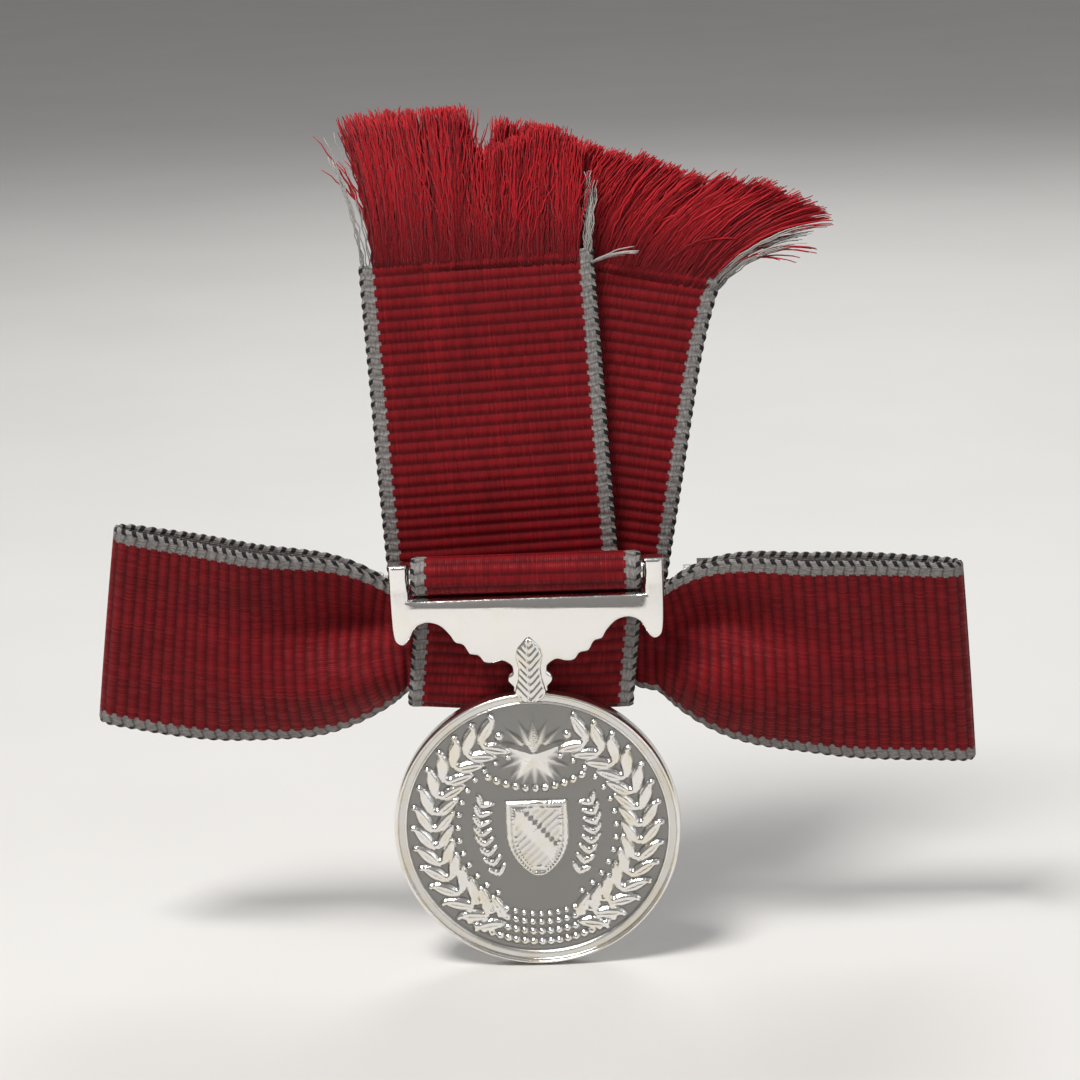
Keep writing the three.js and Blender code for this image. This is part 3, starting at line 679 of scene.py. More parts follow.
def build_band(material):
    line = band_line()
    distance = distance_along(line)
    length = distance[-1]

    def place(along, across):
        y = np.interp(along, distance, line[:, 0])
        z = np.interp(along, distance, line[:, 1])
        lower = np.clip((BAND_DRIFT_FROM_Z - z) / (BAND_DRIFT_FROM_Z - BAND_BOTTOM_Z), 0, 1)
        middle = 1 - (2 * across / BAND_WIDTH) ** 2
        in_front = smoothstep(-y, 6.5, 8.0) * smoothstep(-z, -3.0, -1.0)
        return points_at(
            across - BAND_DRIFT * lower,
            y - BAND_CROWN * middle * in_front,
            z - BAND_SMILE * middle * in_front - BAND_TILT * across * lower * in_front,
        )

    band = make_ribbon("centre_band_cloth", place, length, BAND_WIDTH, True, material)
    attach(band, "bow")
    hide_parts("centre_band")


# ---- Tails and their fringes ----


def tail_place(start_x, lean, depth, flare):
    """place(along, across) of a tail that leans and curls back a little towards its end."""

    def place(along, across):
        z = TAIL_START_Z + along * math.cos(lean) - across * math.sin(lean)
        back = TAIL_CURL * (np.maximum(0, z - TAIL_CURL_START_Z) / TAIL_CURL_SPAN) ** 2
        ripple = TAIL_RIPPLE * np.sin(z * 0.42 + 0.6) * smoothstep(z, 7.0, 12.0)
        spread = flare * (np.maximum(0, z - FLARE_START_Z) / FLARE_SPAN) ** 2 * (0.5 + across / RIBBON_WIDTH)
        x = start_x + along * math.sin(lean) + across * math.cos(lean) + spread
        return points_at(x, depth + back + ripple, z)

    return place


def strand_mesh(name, lines, radii, tones, material, sides=3):
    """Thin closed tubes along lines (strand, point, xyz), all in one mesh."""
    strands, points = lines.shape[:2]
    tangent = np.gradient(lines, axis=1)
    tangent /= np.linalg.norm(tangent, axis=-1, keepdims=True)
    side = np.cross(tangent, [0.0, 1.0, 0.0])
    side /= np.linalg.norm(side, axis=-1, keepdims=True)
    up = np.cross(side, tangent)
    angles = np.arange(sides) * 2 * np.pi / sides
    ring = side[:, :, None] * np.cos(angles)[:, None] + up[:, :, None] * np.sin(angles)[:, None]
    vertices = lines[:, :, None] + ring * radii[None, :, None, None]
    strand, point, corner = counters(strands, points - 1, sides)
    after = (corner + 1) % sides

    def index(at_point, at_corner):
        return (strand * points + at_point) * sides + at_corner

    quads = np.stack([index(point, corner), index(point, after), index(point + 1, after),
                      index(point + 1, corner)], -1)
    share = np.stack([point, point, point + 1, point + 1], -1) / (points - 1)
    tone = np.repeat(tones[strand][:, None], 4, 1)
    uv = [np.stack([share, tone], -1).reshape(-1, 2)]
    first = np.arange(strands)[:, None] * points * sides
    near = first + np.arange(sides)[::-1]
    far = first + (points - 1) * sides + np.arange(sides)
    for caps, at in ((near, 0.0), (far, 1.0)):
        cap_tone = np.repeat(tones[:, None], sides, 1)
        uv.append(np.stack([np.full(caps.shape, at), cap_tone], -1).reshape(-1, 2))
    faces = quads.tolist() + near.tolist() + far.tolist()
    return make_mesh(name, vertices, faces, material, np.concatenate(uv))


def strand_lines(place, length, across, reach, lean_start, lean_end, depth, rng, crimp=0.07):
    """Lines of strands that start in the weave's end. Each turns from lean_start to lean_end, in radians from
    the vertical and positive to the right, and keeps the crimp that the weave gave it."""
    share = np.linspace(0, 1, STRAND_POINTS)
    root = place(length - ROOT_INSET - ROOT_DROP * (across / RIBBON_WIDTH + 0.5), across)
    lean = lean_start[:, None] + (lean_end - lean_start)[:, None] * share**1.3
    step = reach[:, None] / (STRAND_POINTS - 1)
    start = np.zeros((len(across), 1))
    dx = np.concatenate([start, np.cumsum(np.sin(lean)[:, 1:] * step, 1)], 1)
    dz = np.concatenate([start, np.cumsum(np.cos(lean)[:, 1:] * step, 1)], 1)
    phase = rng.uniform(0, 6.3, (len(across), 1))
    wave = crimp * np.sin(np.pi * share * reach[:, None] / RIB_PITCH + phase)
    curl_slope = 2 * TAIL_CURL * (root[:, 2] - TAIL_CURL_START_Z) / TAIL_CURL_SPAN**2
    y = root[:, 1][:, None] + curl_slope[:, None] * dz + depth[:, None] * (0.35 + 0.65 * share)
    return np.stack([root[:, 0][:, None] + dx + wave, y, root[:, 2][:, None] + dz], -1)


def fringe_strands(place, length, count, profile, seed):
    """Strands of one fringe. profile(share) gives their reach and leans across the ribbon, and tufts of them
    share a small turn of their own."""
    rng = np.random.default_rng(seed)
    half = RIBBON_WIDTH / 2 - SELVEDGE
    across = np.sort(rng.uniform(-half, half, count))
    share = (across + half) / (2 * half)
    reach, lean_start, lean_end = profile(share)
    tuft = (share * TUFTS + rng.normal(0, 0.25, count)).astype(int)
    tuft_turn = rng.normal(0, 0.05, tuft.max() + 2)[tuft]
    tuft_reach = rng.normal(0, 0.16, tuft.max() + 2)[tuft]
    stray = rng.random(count) < 0.2
    turn = tuft_turn + rng.normal(0, 0.06, count) + stray * rng.normal(0, 0.3, count)
    reach = reach + tuft_reach + rng.normal(0, 0.14, count) - stray * rng.uniform(0.3, 3.0, count)
    depth = rng.uniform(-0.5, 0.5, count)
    lines = strand_lines(place, length, across, reach, lean_start + turn * 0.4, lean_end + turn, depth, rng)
    return lines, rng.random(count)


def left_profile(share):
    """A square-cut block at the left that fans outwards, then a notch, then a shorter ragged stretch."""
    knots = [0.0, 0.17, 0.47, 0.50, 0.56, 0.64, 0.80, 1.0]
    reach = np.interp(share, knots, [10.1, 10.5, 10.7, 8.2, 7.4, 8.6, 9.3, 8.3])
    lean_start = np.interp(share, [0, 0.5, 0.6, 1.0], [-0.06, 0.0, 0.02, 0.03])
    lean_end = np.interp(share, knots, [-0.355, -0.24, 0.0, -0.05, -0.05, 0.08, 0.12, 0.06])
    return reach, lean_start, lean_end


def right_profile(share):
    """A fan that turns further and further to the right and droops at its outer edge."""
    knots = [0.0, 0.3, 0.6, 0.85, 1.0]
    reach = np.interp(share, knots, [8.8, 8.3, 8.6, 9.2, 10.3])
    lean_start = np.interp(share, knots, [0.0, 0.2, 0.45, 0.55, 0.72])
    lean_end = np.interp(share, knots, [0.1, 0.66, 0.98, 1.06, 1.5])
    return reach, lean_start, lean_end


def selvedge_threads(place, length, across, reach, lean_start, lean_end, count, spread, seed):
    """Loose pearl-grey threads that were the selvedge."""
    rng = np.random.default_rng(seed)
    start = across + rng.uniform(-spread, spread, count)
    reaches = reach * rng.uniform(0.6, 1.0, count)
    first = lean_start + rng.normal(0, 0.04, count)
    last = lean_end + rng.normal(0, 0.08, count)
    depth = rng.uniform(-0.5, 0.1, count)
    lines = strand_lines(place, length, start, reaches, first, last, depth, rng, crimp=0.09)
    return lines, rng.uniform(0.4, 1.0, count)


STRAND_RADII = np.interp(np.linspace(0, 1, STRAND_POINTS), [0, 0.1, 0.8, 1.0], [0.08, 0.072, 0.066, 0.035])


def build_tail(side, place, length, profile, edges, cloth, silk, pearl, seed):
    """One tail: its weave, its red fringe and the grey threads of its two selvedges."""
    tail = make_ribbon(f"tail_{side}_cloth", place, length, RIBBON_WIDTH, False, cloth)
    lines, tones = fringe_strands(place, length, FRINGE_STRANDS, profile, seed)
    fringe = strand_mesh(f"tail_{side}_fringe_silk", lines, STRAND_RADII, tones, silk)
    parts = [selvedge_threads(place, length, *edge, seed + 1 + i) for i, edge in enumerate(edges)]
    grey_lines = np.concatenate([part[0] for part in parts])
    grey_tones = np.concatenate([part[1] for part in parts])
    grey = strand_mesh(f"tail_{side}_fringe_grey", grey_lines, STRAND_RADII * 0.75, grey_tones, pearl)
    for piece in (tail, fringe, grey):
        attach(piece, "bow")
    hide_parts(f"tail_{side}")
    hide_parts(f"tail_{side}_fringe")


def build_tails(cloth):
    silk = silk_fringe("fringe_red", FRINGE_ROOT, FRINGE_TIP, FRINGE_SHADOW)
    pearl = silk_fringe("fringe_pearl", GREY_ROOT, GREY_TIP, GREY_SHADOW)
    edge = RIBBON_WIDTH / 2 - SELVEDGE / 2
    left = tail_place(LEFT_TAIL_X, LEFT_TAIL_LEAN, TAIL_LEFT_Y, 0.0)
    right = tail_place(RIGHT_TAIL_X, RIGHT_TAIL_LEAN, TAIL_RIGHT_Y, RIGHT_FLARE)
    # Each: distance across, reach, first and last lean, number of threads, and how far apart they start
    left_edges = [
        (-edge, 10.0, -0.10, -0.34, 9, 0.35),
        (edge, 6.4, 0.10, 0.04, 22, 0.22),
        (edge, 4.1, 1.1, 1.6, 9, 0.2),
    ]
    right_edges = [(-edge, 6.0, 0.05, 0.05, 8, 0.3), (edge, 9.0, 0.70, 1.45, 24, 0.45)]
    build_tail("left", left, LEFT_TAIL_LENGTH, left_profile, left_edges, cloth, silk, pearl, LEFT_SEED)
    build_tail("right", right, RIGHT_TAIL_LENGTH, right_profile, right_edges, cloth, silk, pearl, RIGHT_SEED)


# ---- Medal ----


def leaf_height(x, z, centre_x, centre_z, angle, length, width):
    """A pointed leaf with a sunk vein, from 0 outside it to 1 on its back."""
    dx, dz = x - centre_x, z - centre_z
    along = (dx * np.cos(angle) + dz * np.sin(angle)) / (length / 2)
    aside = -dx * np.sin(angle) + dz * np.cos(angle)
    half = width / 2 * np.clip(1 - along**2, 0, 1) ** 0.8
    inside = np.clip(1 - (aside / np.maximum(half, 1e-6)) ** 2, 0, 1)
    vein = 0.4 * bell(aside, 0, 0.05) * (np.abs(along) < 0.85)
    return np.where(half > 0.01, np.sqrt(inside) * (1 - vein), 0)


def bead_height(x, z, centre_x, centre_z, radius):
    """A round bead, from 0 outside it to 1 on top."""
    square = ((x - centre_x) ** 2 + (z - centre_z) ** 2) / radius**2
    return np.sqrt(np.clip(1 - square, 0, 1))


def star_height(x, z, centre_x, centre_z, tips, outer, inner):
    """A faceted star with one tip up."""
    dx, dz = x - centre_x, z - centre_z
    sector = np.pi / tips
    turn = np.mod(np.arctan2(dx, dz) + sector, 2 * sector) - sector
    edge = np.sin(sector) / (np.sin(sector - np.abs(turn)) / outer + np.sin(np.abs(turn)) / inner)
    return np.clip(1 - np.hypot(dx, dz) / edge, 0, 1) ** 0.7


def shield_height(x, z):
    """A plain shield: a raised double edge, and a slanted band across a ribbed face."""
    top, shoulder, foot, half = 2.35, 0.0, -3.15, 2.15
    down = np.clip((shoulder - z) / (shoulder - foot), 0, 1)
    width = half * (1 - down**2) ** 0.7
    inside = np.minimum(width - np.abs(x), np.minimum(top - z, (z - foot) * 0.8))
    border = bell(inside, 0.17, 0.12) + 0.7 * bell(inside, 0.52, 0.08)
    slant = x * 0.75 + z * 0.66
    band = np.exp(-((slant / 0.5) ** 4)) * (inside > 0.6)
    ribs = 0.12 * np.abs(np.sin((x * 0.66 - z * 0.75) * np.pi / 0.42)) * (inside > 0.6)
    return np.where(inside > 0, np.maximum(border, 0.3 + ribs + 0.5 * band), 0)


def wreath(x, z, rise):
    """Leaves of the wreath, in pairs up both sides."""
    height = np.zeros_like(x)
    for side in (-1, 1):
        for i in range(WREATH_PAIRS):
            turn = math.radians(WREATH_START + i * WREATH_STEP)
            for slant, radius, length, width in ((0.62, 7.85, 2.15, 0.92), (-0.62, 6.4, 2.0, 0.86)):
                heading = math.pi / 2 + turn - slant
                angle = heading if side > 0 else math.pi - heading
                leaf_x, leaf_z = side * radius * math.cos(turn), radius * math.sin(turn)
                height = np.maximum(height, rise * leaf_height(x, z, leaf_x, leaf_z, angle, length, width))
    return height


def berries(x, z, radius, size):
    """A row of berries up both sides."""
    height = np.zeros_like(x)
    for side in (-1, 1):
        for i in range(WREATH_PAIRS):
            turn = math.radians(BERRY_START + i * WREATH_STEP)
            bead = bead_height(x, z, side * radius * math.cos(turn), radius * math.sin(turn), size)
            height = np.maximum(height, 0.8 * bead)
    return height


def sprays(x, z):
    """A curved spray of small leaves on each side of the shield."""
    height = np.zeros_like(x)
    for side in (-1, 1):
        for rise in np.linspace(0, 1, SPRAY_PAIRS):
            centre_x = side * (2.75 + 1.25 * math.sin(rise * 2.1))
            centre_z = -3.3 + 5.0 * rise
            for turn in (-0.75, 0.75):
                angle = math.pi / 2 + side * (-0.3 + 0.9 * rise) + turn
                leaf_x = centre_x + 0.42 * math.cos(angle)
                leaf_z = centre_z + 0.42 * math.sin(angle)
                height = np.maximum(height, 0.75 * leaf_height(x, z, leaf_x, leaf_z, angle, 1.05, 0.42))
    return height


def bead_arc(x, z, centre_z, radius, count, pitch, size, rise):
    """A row of beads on an arc, with its middle bead straight below the arc's centre."""
    height = np.zeros_like(x)
    for i in range(count):
        turn = (i - (count - 1) / 2) * pitch / radius - math.pi / 2
        bead = bead_height(x, z, radius * math.cos(turn), centre_z + radius * math.sin(turn), size)
        height = np.maximum(height, rise * bead)
    return height


def front_relief(x, z):
    """Height of the front's design, from 0 on the field to 1."""
    parts = [wreath(x, z, 0.95), sprays(x, z), 0.85 * shield_height(x, z - SHIELD_Z)]
    parts += [berries(x, z, radius, size) for radius, size in ((7.1, 0.3), (8.62, 0.2), (5.5, 0.2))]
    parts.append(0.5 * star_height(x, z, 0, STAR_Z, 16, 2.9, 1.6))
    parts.append(star_height(x, z, 0, STAR_Z, 5, 2.5, 1.05))
    parts.append(bead_height(x, z, 0, STAR_Z, 0.5))
    parts.append(bead_arc(x, z, 9.3, 6.4, 11, 0.68, 0.28, 0.8))
    for radius, count, size in ((8.35, 21, 0.27), (7.6, 19, 0.26), (6.9, 17, 0.24), (6.3, 13, 0.2)):
        parts.append(bead_arc(x, z, 0.0, radius, count, 0.6, size, 0.85))
    return np.maximum.reduce(parts)


def back_relief(x, z):
    """The reverse has the wreath alone, round a blank middle."""
    return wreath(x, z, 0.7)


def rim_profile(radius):
    """How far the rim stands over the field: an outer bead, a dished band and a thin inner ring."""
    bead_middle = DISC_RADIUS - OUTER_BEAD_WIDTH / 2
    bead = np.sqrt(np.clip(1 - ((radius - bead_middle) / (OUTER_BEAD_WIDTH / 2)) ** 2, 0, 1))
    ring = 0.6 * bell(radius, INNER_RING_RADIUS, 0.07)
    band = 0.3 * smoothstep(radius, FIELD_RADIUS, INNER_RING_RADIUS)
    return np.maximum(np.maximum(band, ring), bead)


def build_disc(material):
    segments = DISC_SEGMENTS
    rim_radii = np.linspace(INNER_RING_RADIUS, DISC_RADIUS, 18)
    front_radii = np.concatenate([np.linspace(0.1, 5.4, 46), np.linspace(5.49, 9.05, 38), rim_radii])
    back_radii = np.linspace(DISC_RADIUS, 0.15, 46)
    turns = np.arange(segments) * 2 * np.pi / segments

    def face(radii, design, field_y, outward):
        x = radii[:, None] * np.cos(turns)
        z = radii[:, None] * np.sin(turns)
        rim = rim_profile(radii)[:, None] * np.ones(segments)
        relief = design(x, z) * (radii[:, None] < FIELD_RADIUS)
        rise = FIELD_DEPTH * np.maximum(rim, relief * RELIEF_SHARE)
        points = np.stack([x, field_y + outward * rise, z + DISC_CENTRE_Z], -1)
        return points, np.maximum(rim, relief)

    front, front_tone = face(front_radii, front_relief, DISC_FRONT_Y + FIELD_DEPTH, -1)
    back, back_tone = face(back_radii, back_relief, DISC_BACK_Y - FIELD_DEPTH, 1)
    rings = np.concatenate([front, back])
    tones = np.concatenate([front_tone, back_tone])
    count = len(rings)
    ring, turn = counters(count - 1, segments)
    after = (turn + 1) % segments
    quads = np.stack([ring * segments + turn, ring * segments + after, (ring + 1) * segments + after,
                      (ring + 1) * segments + turn], -1)
    front_middle, back_middle = count * segments, count * segments + 1
    around = np.arange(segments)
    next_around = (around + 1) % segments
    last = (count - 1) * segments
    front_fan = np.stack([np.full(segments, front_middle), next_around, around], -1)
    back_fan = np.stack([np.full(segments, back_middle), last + around, last + next_around], -1)
    middles = [(0, front[0, 0, 1], DISC_CENTRE_Z), (0, back[-1, 0, 1], DISC_CENTRE_Z)]
    points = np.concatenate([rings.reshape(-1, 3), middles])
    tone = np.concatenate([tones.ravel(), [tones[0, 0], tones[-1, 0]]])
    uv = np.concatenate([tone[quads].ravel(), tone[front_fan].ravel(), tone[back_fan].ravel()])
    faces = quads.tolist() + front_fan.tolist() + back_fan.tolist()
    disc = make_mesh("medal_disc_struck", points, faces, material, np.stack([uv, np.zeros_like(uv)], -1))
    face_outward(disc)
    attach(disc, "medal")
    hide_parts("medal_disc")


def face_outward(piece):
    """Turns the faces of a closed piece outwards."""
    shape = bmesh.new()
    shape.from_mesh(piece.data)
    bmesh.ops.remove_doubles(shape, verts=shape.verts, dist=1e-7)
    bmesh.ops.recalc_face_normals(shape, faces=shape.faces)
    shape.to_mesh(piece.data)
    shape.free()


def smooth_line(points, steps=5):
    """Points on a curve that passes through all of these."""
    padded = np.array([points[0], *points, points[-1]], float)
    line = []
    for before, start, end, after in zip(padded, padded[1:], padded[2:], padded[3:]):
        for share in np.arange(steps) / steps:
            pull = 2 * start + (end - before) * share
            pull += (2 * before - 5 * start + 4 * end - after) * share**2
            pull += (3 * start - before - 3 * end + after) * share**3
            line.append(pull / 2)
    return [*line, padded[-1]]


def suspender_outline():
    """Two lugs above a plate whose lower edge has a scroll at each end and steps down to a lobed neck."""
    lug = [(LUG_INNER_X, PLATE_TOP_Z), (LUG_INNER_X, LUG_TOP_Z), (LUG_OUTER_X, LUG_TOP_Z)]
    lower_edge = [
        (LUG_OUTER_X, 6.3), (9.27, 3.2), (9.18, 1.6), (8.95, 1.05), (8.5, 0.9), (8.1, 1.25), (7.6, 2.1),
        (6.8, 2.42), (6.0, 2.2), (5.4, 1.6), (5.0, 1.0), (4.45, 0.78), (4.05, 0.15), (3.45, -0.02),
        (3.05, -0.5), (2.45, -0.56), (1.85, -0.42), (1.28, -0.78), (1.2, -1.16), (1.5, -1.5), (1.5, -1.95),
        (1.2, -2.3), (1.2, -2.6),
    ]
    right = [*lug, *smooth_line(lower_edge)]
    return [*right, *[(-x, z) for x, z in reversed(right)]]


def plate_from_outline(name, outline, front, back, bevel, material):
    """An outline in x and z given depth and rounded edges."""
    curve = bpy.data.curves.new(name, "CURVE")
    curve.dimensions = "2D"
    curve.fill_mode = "BOTH"
    curve.extrude = ((back - front) / 2 - bevel) * MM
    curve.bevel_depth = bevel * MM
    curve.bevel_resolution = 5
    curve.offset = -bevel * MM
    spline = curve.splines.new("POLY")
    spline.points.add(len(outline) - 1)
    for point, (x, z) in zip(spline.points, outline):
        point.co = (x * MM, z * MM, 0, 1)
    spline.use_cyclic_u = True
    shape = add_object(name, curve)
    mesh = bpy.data.meshes.new_from_object(shape.evaluated_get(bpy.context.evaluated_depsgraph_get()))
    bpy.data.objects.remove(shape)
    mesh.transform(Matrix.Translation((0, (front + back) / 2 * MM, 0)) @ Matrix.Rotation(math.pi / 2, 4, "X"))
    mesh.materials.clear()
    mesh.materials.append(material)
    piece = add_object(name, mesh)
    face_outward(piece)
    return piece


def crown_plate(piece):
    """Gives the plate's flat front a slightly crowned middle and a broad slope along the slot."""
    shape = bmesh.new()
    shape.from_mesh(piece.data)
    cuts = [((0, 0, z * MM), (0, 0, 1)) for z in np.arange(-2.4, 6.4, 0.2)]
    cuts += [((x * MM, 0, 0), (1, 0, 0)) for x in np.arange(-9.0, 9.1, 0.75)]
    for place, normal in cuts:
        geometry = [*shape.verts, *shape.edges, *shape.faces]
        bmesh.ops.bisect_plane(shape, geom=geometry, dist=1e-8, plane_co=place, plane_no=normal)
    for vertex in shape.verts:
        x, y, z = vertex.co / MM
        front = np.clip((-y + (PLATE_FRONT_Y + PLATE_BACK_Y) / 2) / 0.4, 0, 1)
        slope_height = SLOPE_HEIGHT * (1 + 0.45 * x / LUG_OUTER_X)
        slope = np.clip((z - (PLATE_TOP_Z - slope_height)) / slope_height, 0, 1) ** 1.3
        slope *= np.clip((SLOPE_END_X - abs(x)) / 0.5, 0, 1) * (z < PLATE_TOP_Z + 0.01)
        crown = np.clip(1 - ((z - 1.6) / 3.2) ** 2, 0, 1)
        vertex.co.y += front * (SLOPE_DEPTH * slope - CROWN * crown) * MM
    bmesh.ops.triangulate(shape, faces=shape.faces)
    bmesh.ops.recalc_face_normals(shape, faces=shape.faces)
    shape.to_mesh(piece.data)
    shape.free()
    piece.data.shade_smooth()
    piece.data.set_sharp_from_angle(angle=math.radians(40))


def build_suspender(material):
    plate = plate_from_outline("suspender_frame_silver", suspender_outline(), PLATE_FRONT_Y, PLATE_BACK_Y,
                               PLATE_BEVEL, material)
    crown_plate(plate)
    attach(plate, "medal")
    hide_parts("suspender_frame")


def build_claw(material):
    """A veined leaf from its foot on the rim to its tip on the plate."""
    rows, columns = 60, 25
    heights = [CLAW_LOW_Z, -3.0, -2.5, -1.7, -0.9, -0.1, 0.5, 1.1, CLAW_HIGH_Z]
    z = np.linspace(CLAW_LOW_Z, CLAW_HIGH_Z, rows)[:, None]
    share = np.linspace(-1, 1, columns)[None, :]
    x = share * np.interp(z, heights, [0.45, 0.95, 1.05, 0.85, 0.75, 0.95, 0.8, 0.28, 0.04])
    dome = np.sqrt(np.clip(1.02 - share**2, 0, 1))
    side_vein = 0.16 * np.sin((np.abs(x) * 1.1 - z) * 2 * np.pi / SIDE_VEIN_PITCH)
    height = 0.1 + 0.34 * dome * (1 - 0.45 * bell(x, 0, 0.07) + side_vein)
    back_y = DISC_FRONT_Y - 0.03
    front = points_at(x, back_y - height, z)
    back = points_at(x, back_y, z)
    claw = sheet_mesh("leaf_claw_veined", front, back, np.linspace(0.4, 0.9, rows), share[0], False, material)
    face_outward(claw)
    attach(claw, "medal")
    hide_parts("leaf_claw")


# ---- Backing pad and stitching ----

PAD_LENGTH = 18.8
PAD_HEIGHT = 7.8
PAD_FRONT_Y = -2.1
PAD_BACK_Y = -1.1
PAD_ROUNDING = 0.5
PAD_SEED = 5
THREAD_RADIUS = 0.15
STITCH_ROW_Z = 3.2
STITCH_HALF_HEIGHT = 0.35
STITCH_COUNT = 9
STITCH_ROW_LENGTH = 17.0
PLY_RADIUS = 0.085
PLY_OFFSET = 0.07      # from the thread's middle to a ply's
PLY_PITCH = 0.9


def build_pad(material):
    """Felt with a soft edge, pulled in a little along its two rows of stitches."""
    rows, columns = 50, 130
    z = np.linspace(-1, 1, rows)[:, None]
    x = np.linspace(-1, 1, columns)[None, :]
    corner = 1 - 0.055 * np.clip((np.abs(z) - 0.65) / 0.35, 0, 1) ** 2
    wide = x * PAD_LENGTH / 2 * corner
    tall = z * PAD_HEIGHT / 2 * (1 - 0.16 * np.clip((np.abs(x) - 0.9) / 0.1, 0, 1) ** 2)
    to_edge = np.minimum((1 - np.abs(x)) * PAD_LENGTH / 2, (1 - np.abs(z)) * PAD_HEIGHT / 2)
    inward = np.clip(to_edge / PAD_ROUNDING, 0.04, 1)
    half = 0.96 * (PAD_BACK_Y - PAD_FRONT_Y) / 2 * np.sqrt(inward * (2 - inward))
    matting = np.random.default_rng(PAD_SEED).normal(0, 0.012, (2, rows, columns))
    pull = 0.16 * bell(np.abs(tall), STITCH_ROW_Z, 0.3) * (np.abs(wide) < STITCH_ROW_LENGTH / 2)
    middle = (PAD_FRONT_Y + PAD_BACK_Y) / 2
    front = points_at(wide, middle - half + matting[0], tall)
    back = points_at(wide, middle + half - pull + matting[1], tall)
    pad = sheet_mesh("backing_pad_felt", front, back, z[:, 0], x[0], False, material)
    face_outward(pad)
    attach(pad, "bow")
    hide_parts("backing_pad")


def build_stitching(material):
    """Each row is one zigzag of two-ply thread."""
    for name, row_z in (("upper_stitching", STITCH_ROW_Z), ("lower_stitching", -STITCH_ROW_Z)):
        turns = np.arange(STITCH_COUNT * 2 + 1)
        x = (turns / (STITCH_COUNT * 2) - 0.5) * STITCH_ROW_LENGTH
        z = row_z + STITCH_HALF_HEIGHT * np.where(turns % 2 == 0, 1, -1)
        knots = np.stack([x, np.full_like(x, PAD_BACK_Y + THREAD_RADIUS * 0.4), z], -1)
        line = np.array(smooth_line(knots.tolist(), 16))
        wind = np.linspace(0, 2 * np.pi * STITCH_ROW_LENGTH / PLY_PITCH, len(line))
        around = [points_at(0, np.cos(turn), np.sin(turn)) for turn in (wind, wind + np.pi)]
        plies = [line + PLY_OFFSET * ring for ring in around]
        radii = np.full(len(line), PLY_RADIUS)
        tones = np.array([0.2, 0.8])
        thread = strand_mesh(f"{name}_thread", np.stack(plies), radii, tones, material, sides=6)
        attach(thread, "bow")
        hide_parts(name)


# ---- Metal that keeps its CAD shape ----

EDGE_ROUNDING = {
    "ribbon_bar": 0.08, "brooch_bar": 0.14, "hinge_bracket": 0.12, "hinge_rivet": 0.08, "brooch_pin": 0.03,
    "catch_base": 0.12, "catch_roller": 0.06,
}


def finish_cad_metal(silver, steel):
    """Rounds the edges of the metal pieces that stay as the CAD made them, and gives them their finish."""
    for name, rounding in EDGE_ROUNDING.items():
        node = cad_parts[name]
        material = silver if name == "ribbon_bar" else steel
        node.data.materials.clear()
        node.data.materials.append(material)
        weld = node.modifiers.new("weld", "WELD")
        weld.merge_threshold = 0.001 * MM
        bevel = node.modifiers.new("bevel", "BEVEL")
        bevel.width = rounding * MM
        bevel.segments = 3
        bevel.limit_method = "ANGLE"
        bevel.angle_limit = math.radians(35)
        node.modifiers.new("normals", "WEIGHTED_NORMAL").keep_sharp = True


# ---- Camera, stage and light ----

CAMERA_AZIMUTH = math.radians(3)
CAMERA_ELEVATION = math.radians(14)
CAMERA_ROLL = math.radians(2.6)
CAMERA_DISTANCE = 209.2
CAMERA_AIM_RIGHT = 0.9    # the aim stands this far from the middle of the object
CAMERA_AIM_UP = -1.3
CAMERA_LENS = 99.6
FLOOR_GAP = 0.1
FLOOR_HALF = 3.0          # metres

# Each light's place, width, power in watts and colour
LIGHTS = {
    "key": ((-130, -180, 400), 140, 2.3, (1.0, 0.985, 0.96)),
    "fill": ((300, -210, 160), 260, 0.22, (0.95, 0.97, 1.0)),
    "back": ((60, 300, 260), 220, 0.6, (1, 1, 1)),
}
WORLD_LOW = (0.62, 0.58, 0.53, 1)
WORLD_HIGH = (0.92, 0.93, 0.95, 1)
WORLD_STRENGTH = 0.3


def build_camera():
    aim = (CAD_LOW + CAD_HIGH) / 2
    flat = math.cos(CAMERA_ELEVATION)
    across, forward = math.sin(CAMERA_AZIMUTH) * flat, math.cos(CAMERA_AZIMUTH) * flat
    back = Vector((across, -forward, math.sin(CAMERA_ELEVATION)))
    right = Vector((0, 0, 1)).cross(back).normalized()
    up = back.cross(right)
    turn = Matrix.Rotation(-CAMERA_ROLL, 3, back)
    right, up = turn @ right, turn @ up
    aim += (right * CAMERA_AIM_RIGHT + up * CAMERA_AIM_UP) * MM
    camera = add_object("camera", bpy.data.cameras.new("camera"))
    camera.data.lens = CAMERA_LENS
    camera.data.clip_start = MM
    turned = Matrix((right, up, back)).transposed().to_4x4()
    camera.matrix_world = Matrix.Translation(aim + back * CAMERA_DISTANCE * MM) @ turned
    bpy.context.scene.camera = camera


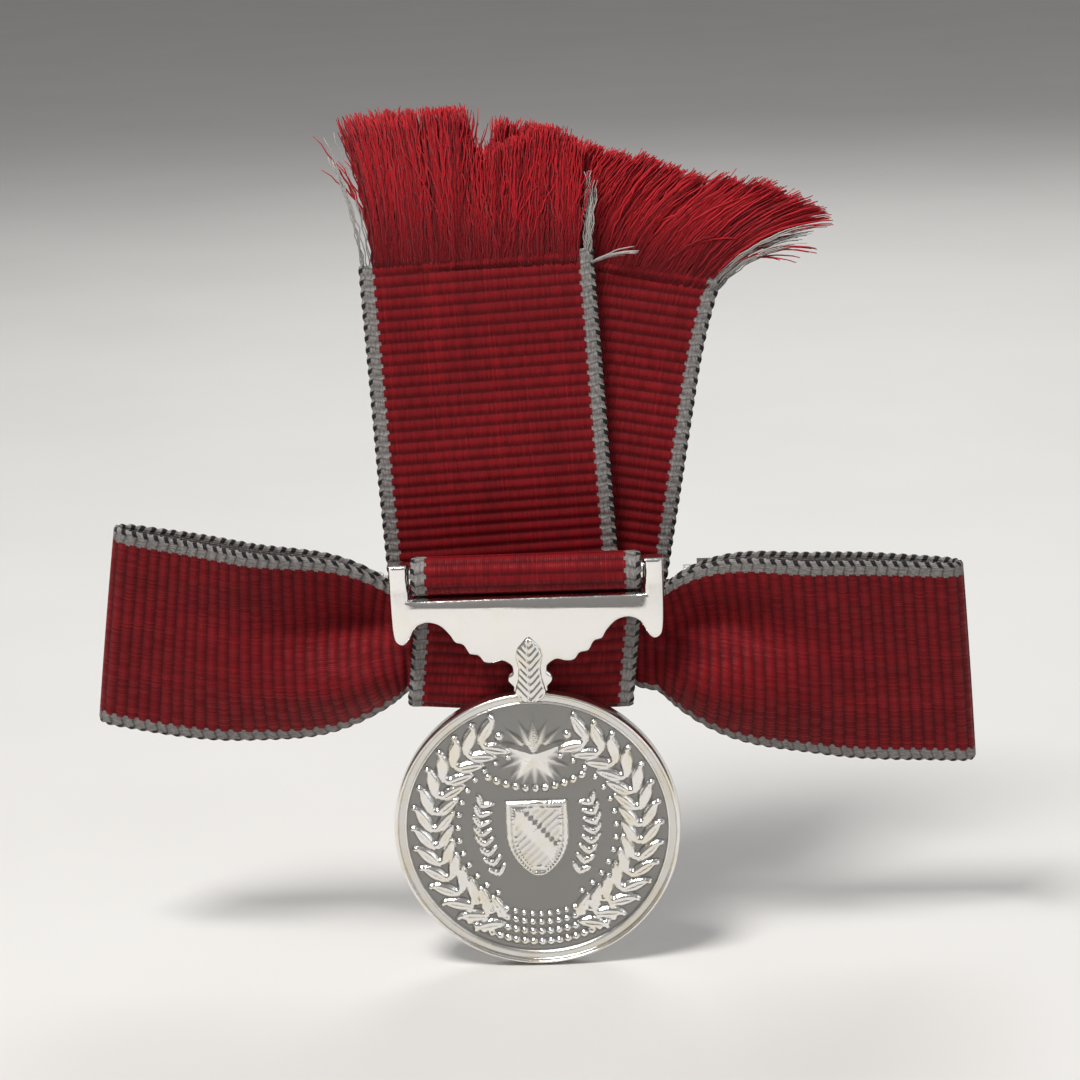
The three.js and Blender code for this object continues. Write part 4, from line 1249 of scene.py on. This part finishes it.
def build_floor():
    nodes = Nodes("floor")
    cloud = nodes.noise(nodes.place(), 30.0, 3.0)
    colour = nodes.mix(cloud, FLOOR_DARK, FLOOR_LIGHT)
    material = nodes.finish(Base_Color=colour, Roughness=0.7)
    level = CAD_LOW.z - FLOOR_GAP * MM
    corners = [(x * FLOOR_HALF, y * FLOOR_HALF, level) for x, y in ((-1, -1), (1, -1), (1, 1), (-1, 1))]
    mesh = bpy.data.meshes.new("floor")
    mesh.from_pydata(corners, [], [(0, 1, 2, 3)])
    mesh.materials.append(material)
    floor = add_object("floor", mesh)


def build_lights():
    """Soft square lights that point at the middle of the object."""
    aim = (CAD_LOW + CAD_HIGH) / 2
    for name, (place, size, power, colour) in LIGHTS.items():
        light = bpy.data.lights.new(name, "AREA")
        light.size = size * MM
        light.energy = power
        light.color = colour
        lamp = add_object(name, light)
        lamp.location = Vector(place) * MM
        lamp.rotation_euler = (aim - lamp.location).to_track_quat("-Z", "Y").to_euler()


def build_world():
    """Light from all round, a little cooler and brighter from above."""
    world = bpy.data.worlds.new("studio")
    world.use_nodes = True
    tree = world.node_tree
    background = tree.nodes["Background"]
    direction = tree.nodes.new("ShaderNodeTexCoord")
    split = tree.nodes.new("ShaderNodeSeparateXYZ")
    shift = tree.nodes.new("ShaderNodeMath")
    shift.operation = "MULTIPLY_ADD"
    shift.inputs[1].default_value = 0.5
    shift.inputs[2].default_value = 0.5
    ramp = tree.nodes.new("ShaderNodeValToRGB")
    for end, position, colour in zip(ramp.color_ramp.elements, (0.35, 1.0), (WORLD_LOW, WORLD_HIGH)):
        end.position = position
        end.color = colour
    tree.links.new(direction.outputs["Generated"], split.inputs[0])
    tree.links.new(split.outputs[2], shift.inputs[0])
    tree.links.new(shift.outputs[0], ramp.inputs[0])
    tree.links.new(ramp.outputs[0], background.inputs["Color"])
    background.inputs["Strength"].default_value = WORLD_STRENGTH
    bpy.context.scene.world = world
    bpy.context.scene.view_settings.view_transform = "Standard"


def build_object():
    cloth = grosgrain("grosgrain", RIBBON_WIDTH)
    band_cloth = grosgrain("grosgrain_band", BAND_WIDTH)
    silver = polished_silver("polished_silver")
    struck = struck_silver("struck_silver")
    steel = plated_steel("plated_steel")
    build_band(band_cloth)
    build_bow(cloth)
    build_tails(cloth)
    build_disc(struck)
    build_suspender(silver)
    build_claw(struck)
    build_pad(felt("felt"))
    build_stitching(sewing_thread("sewing_thread"))
    finish_cad_metal(silver, steel)


build_camera()
build_object()
build_floor()
build_lights()
build_world()
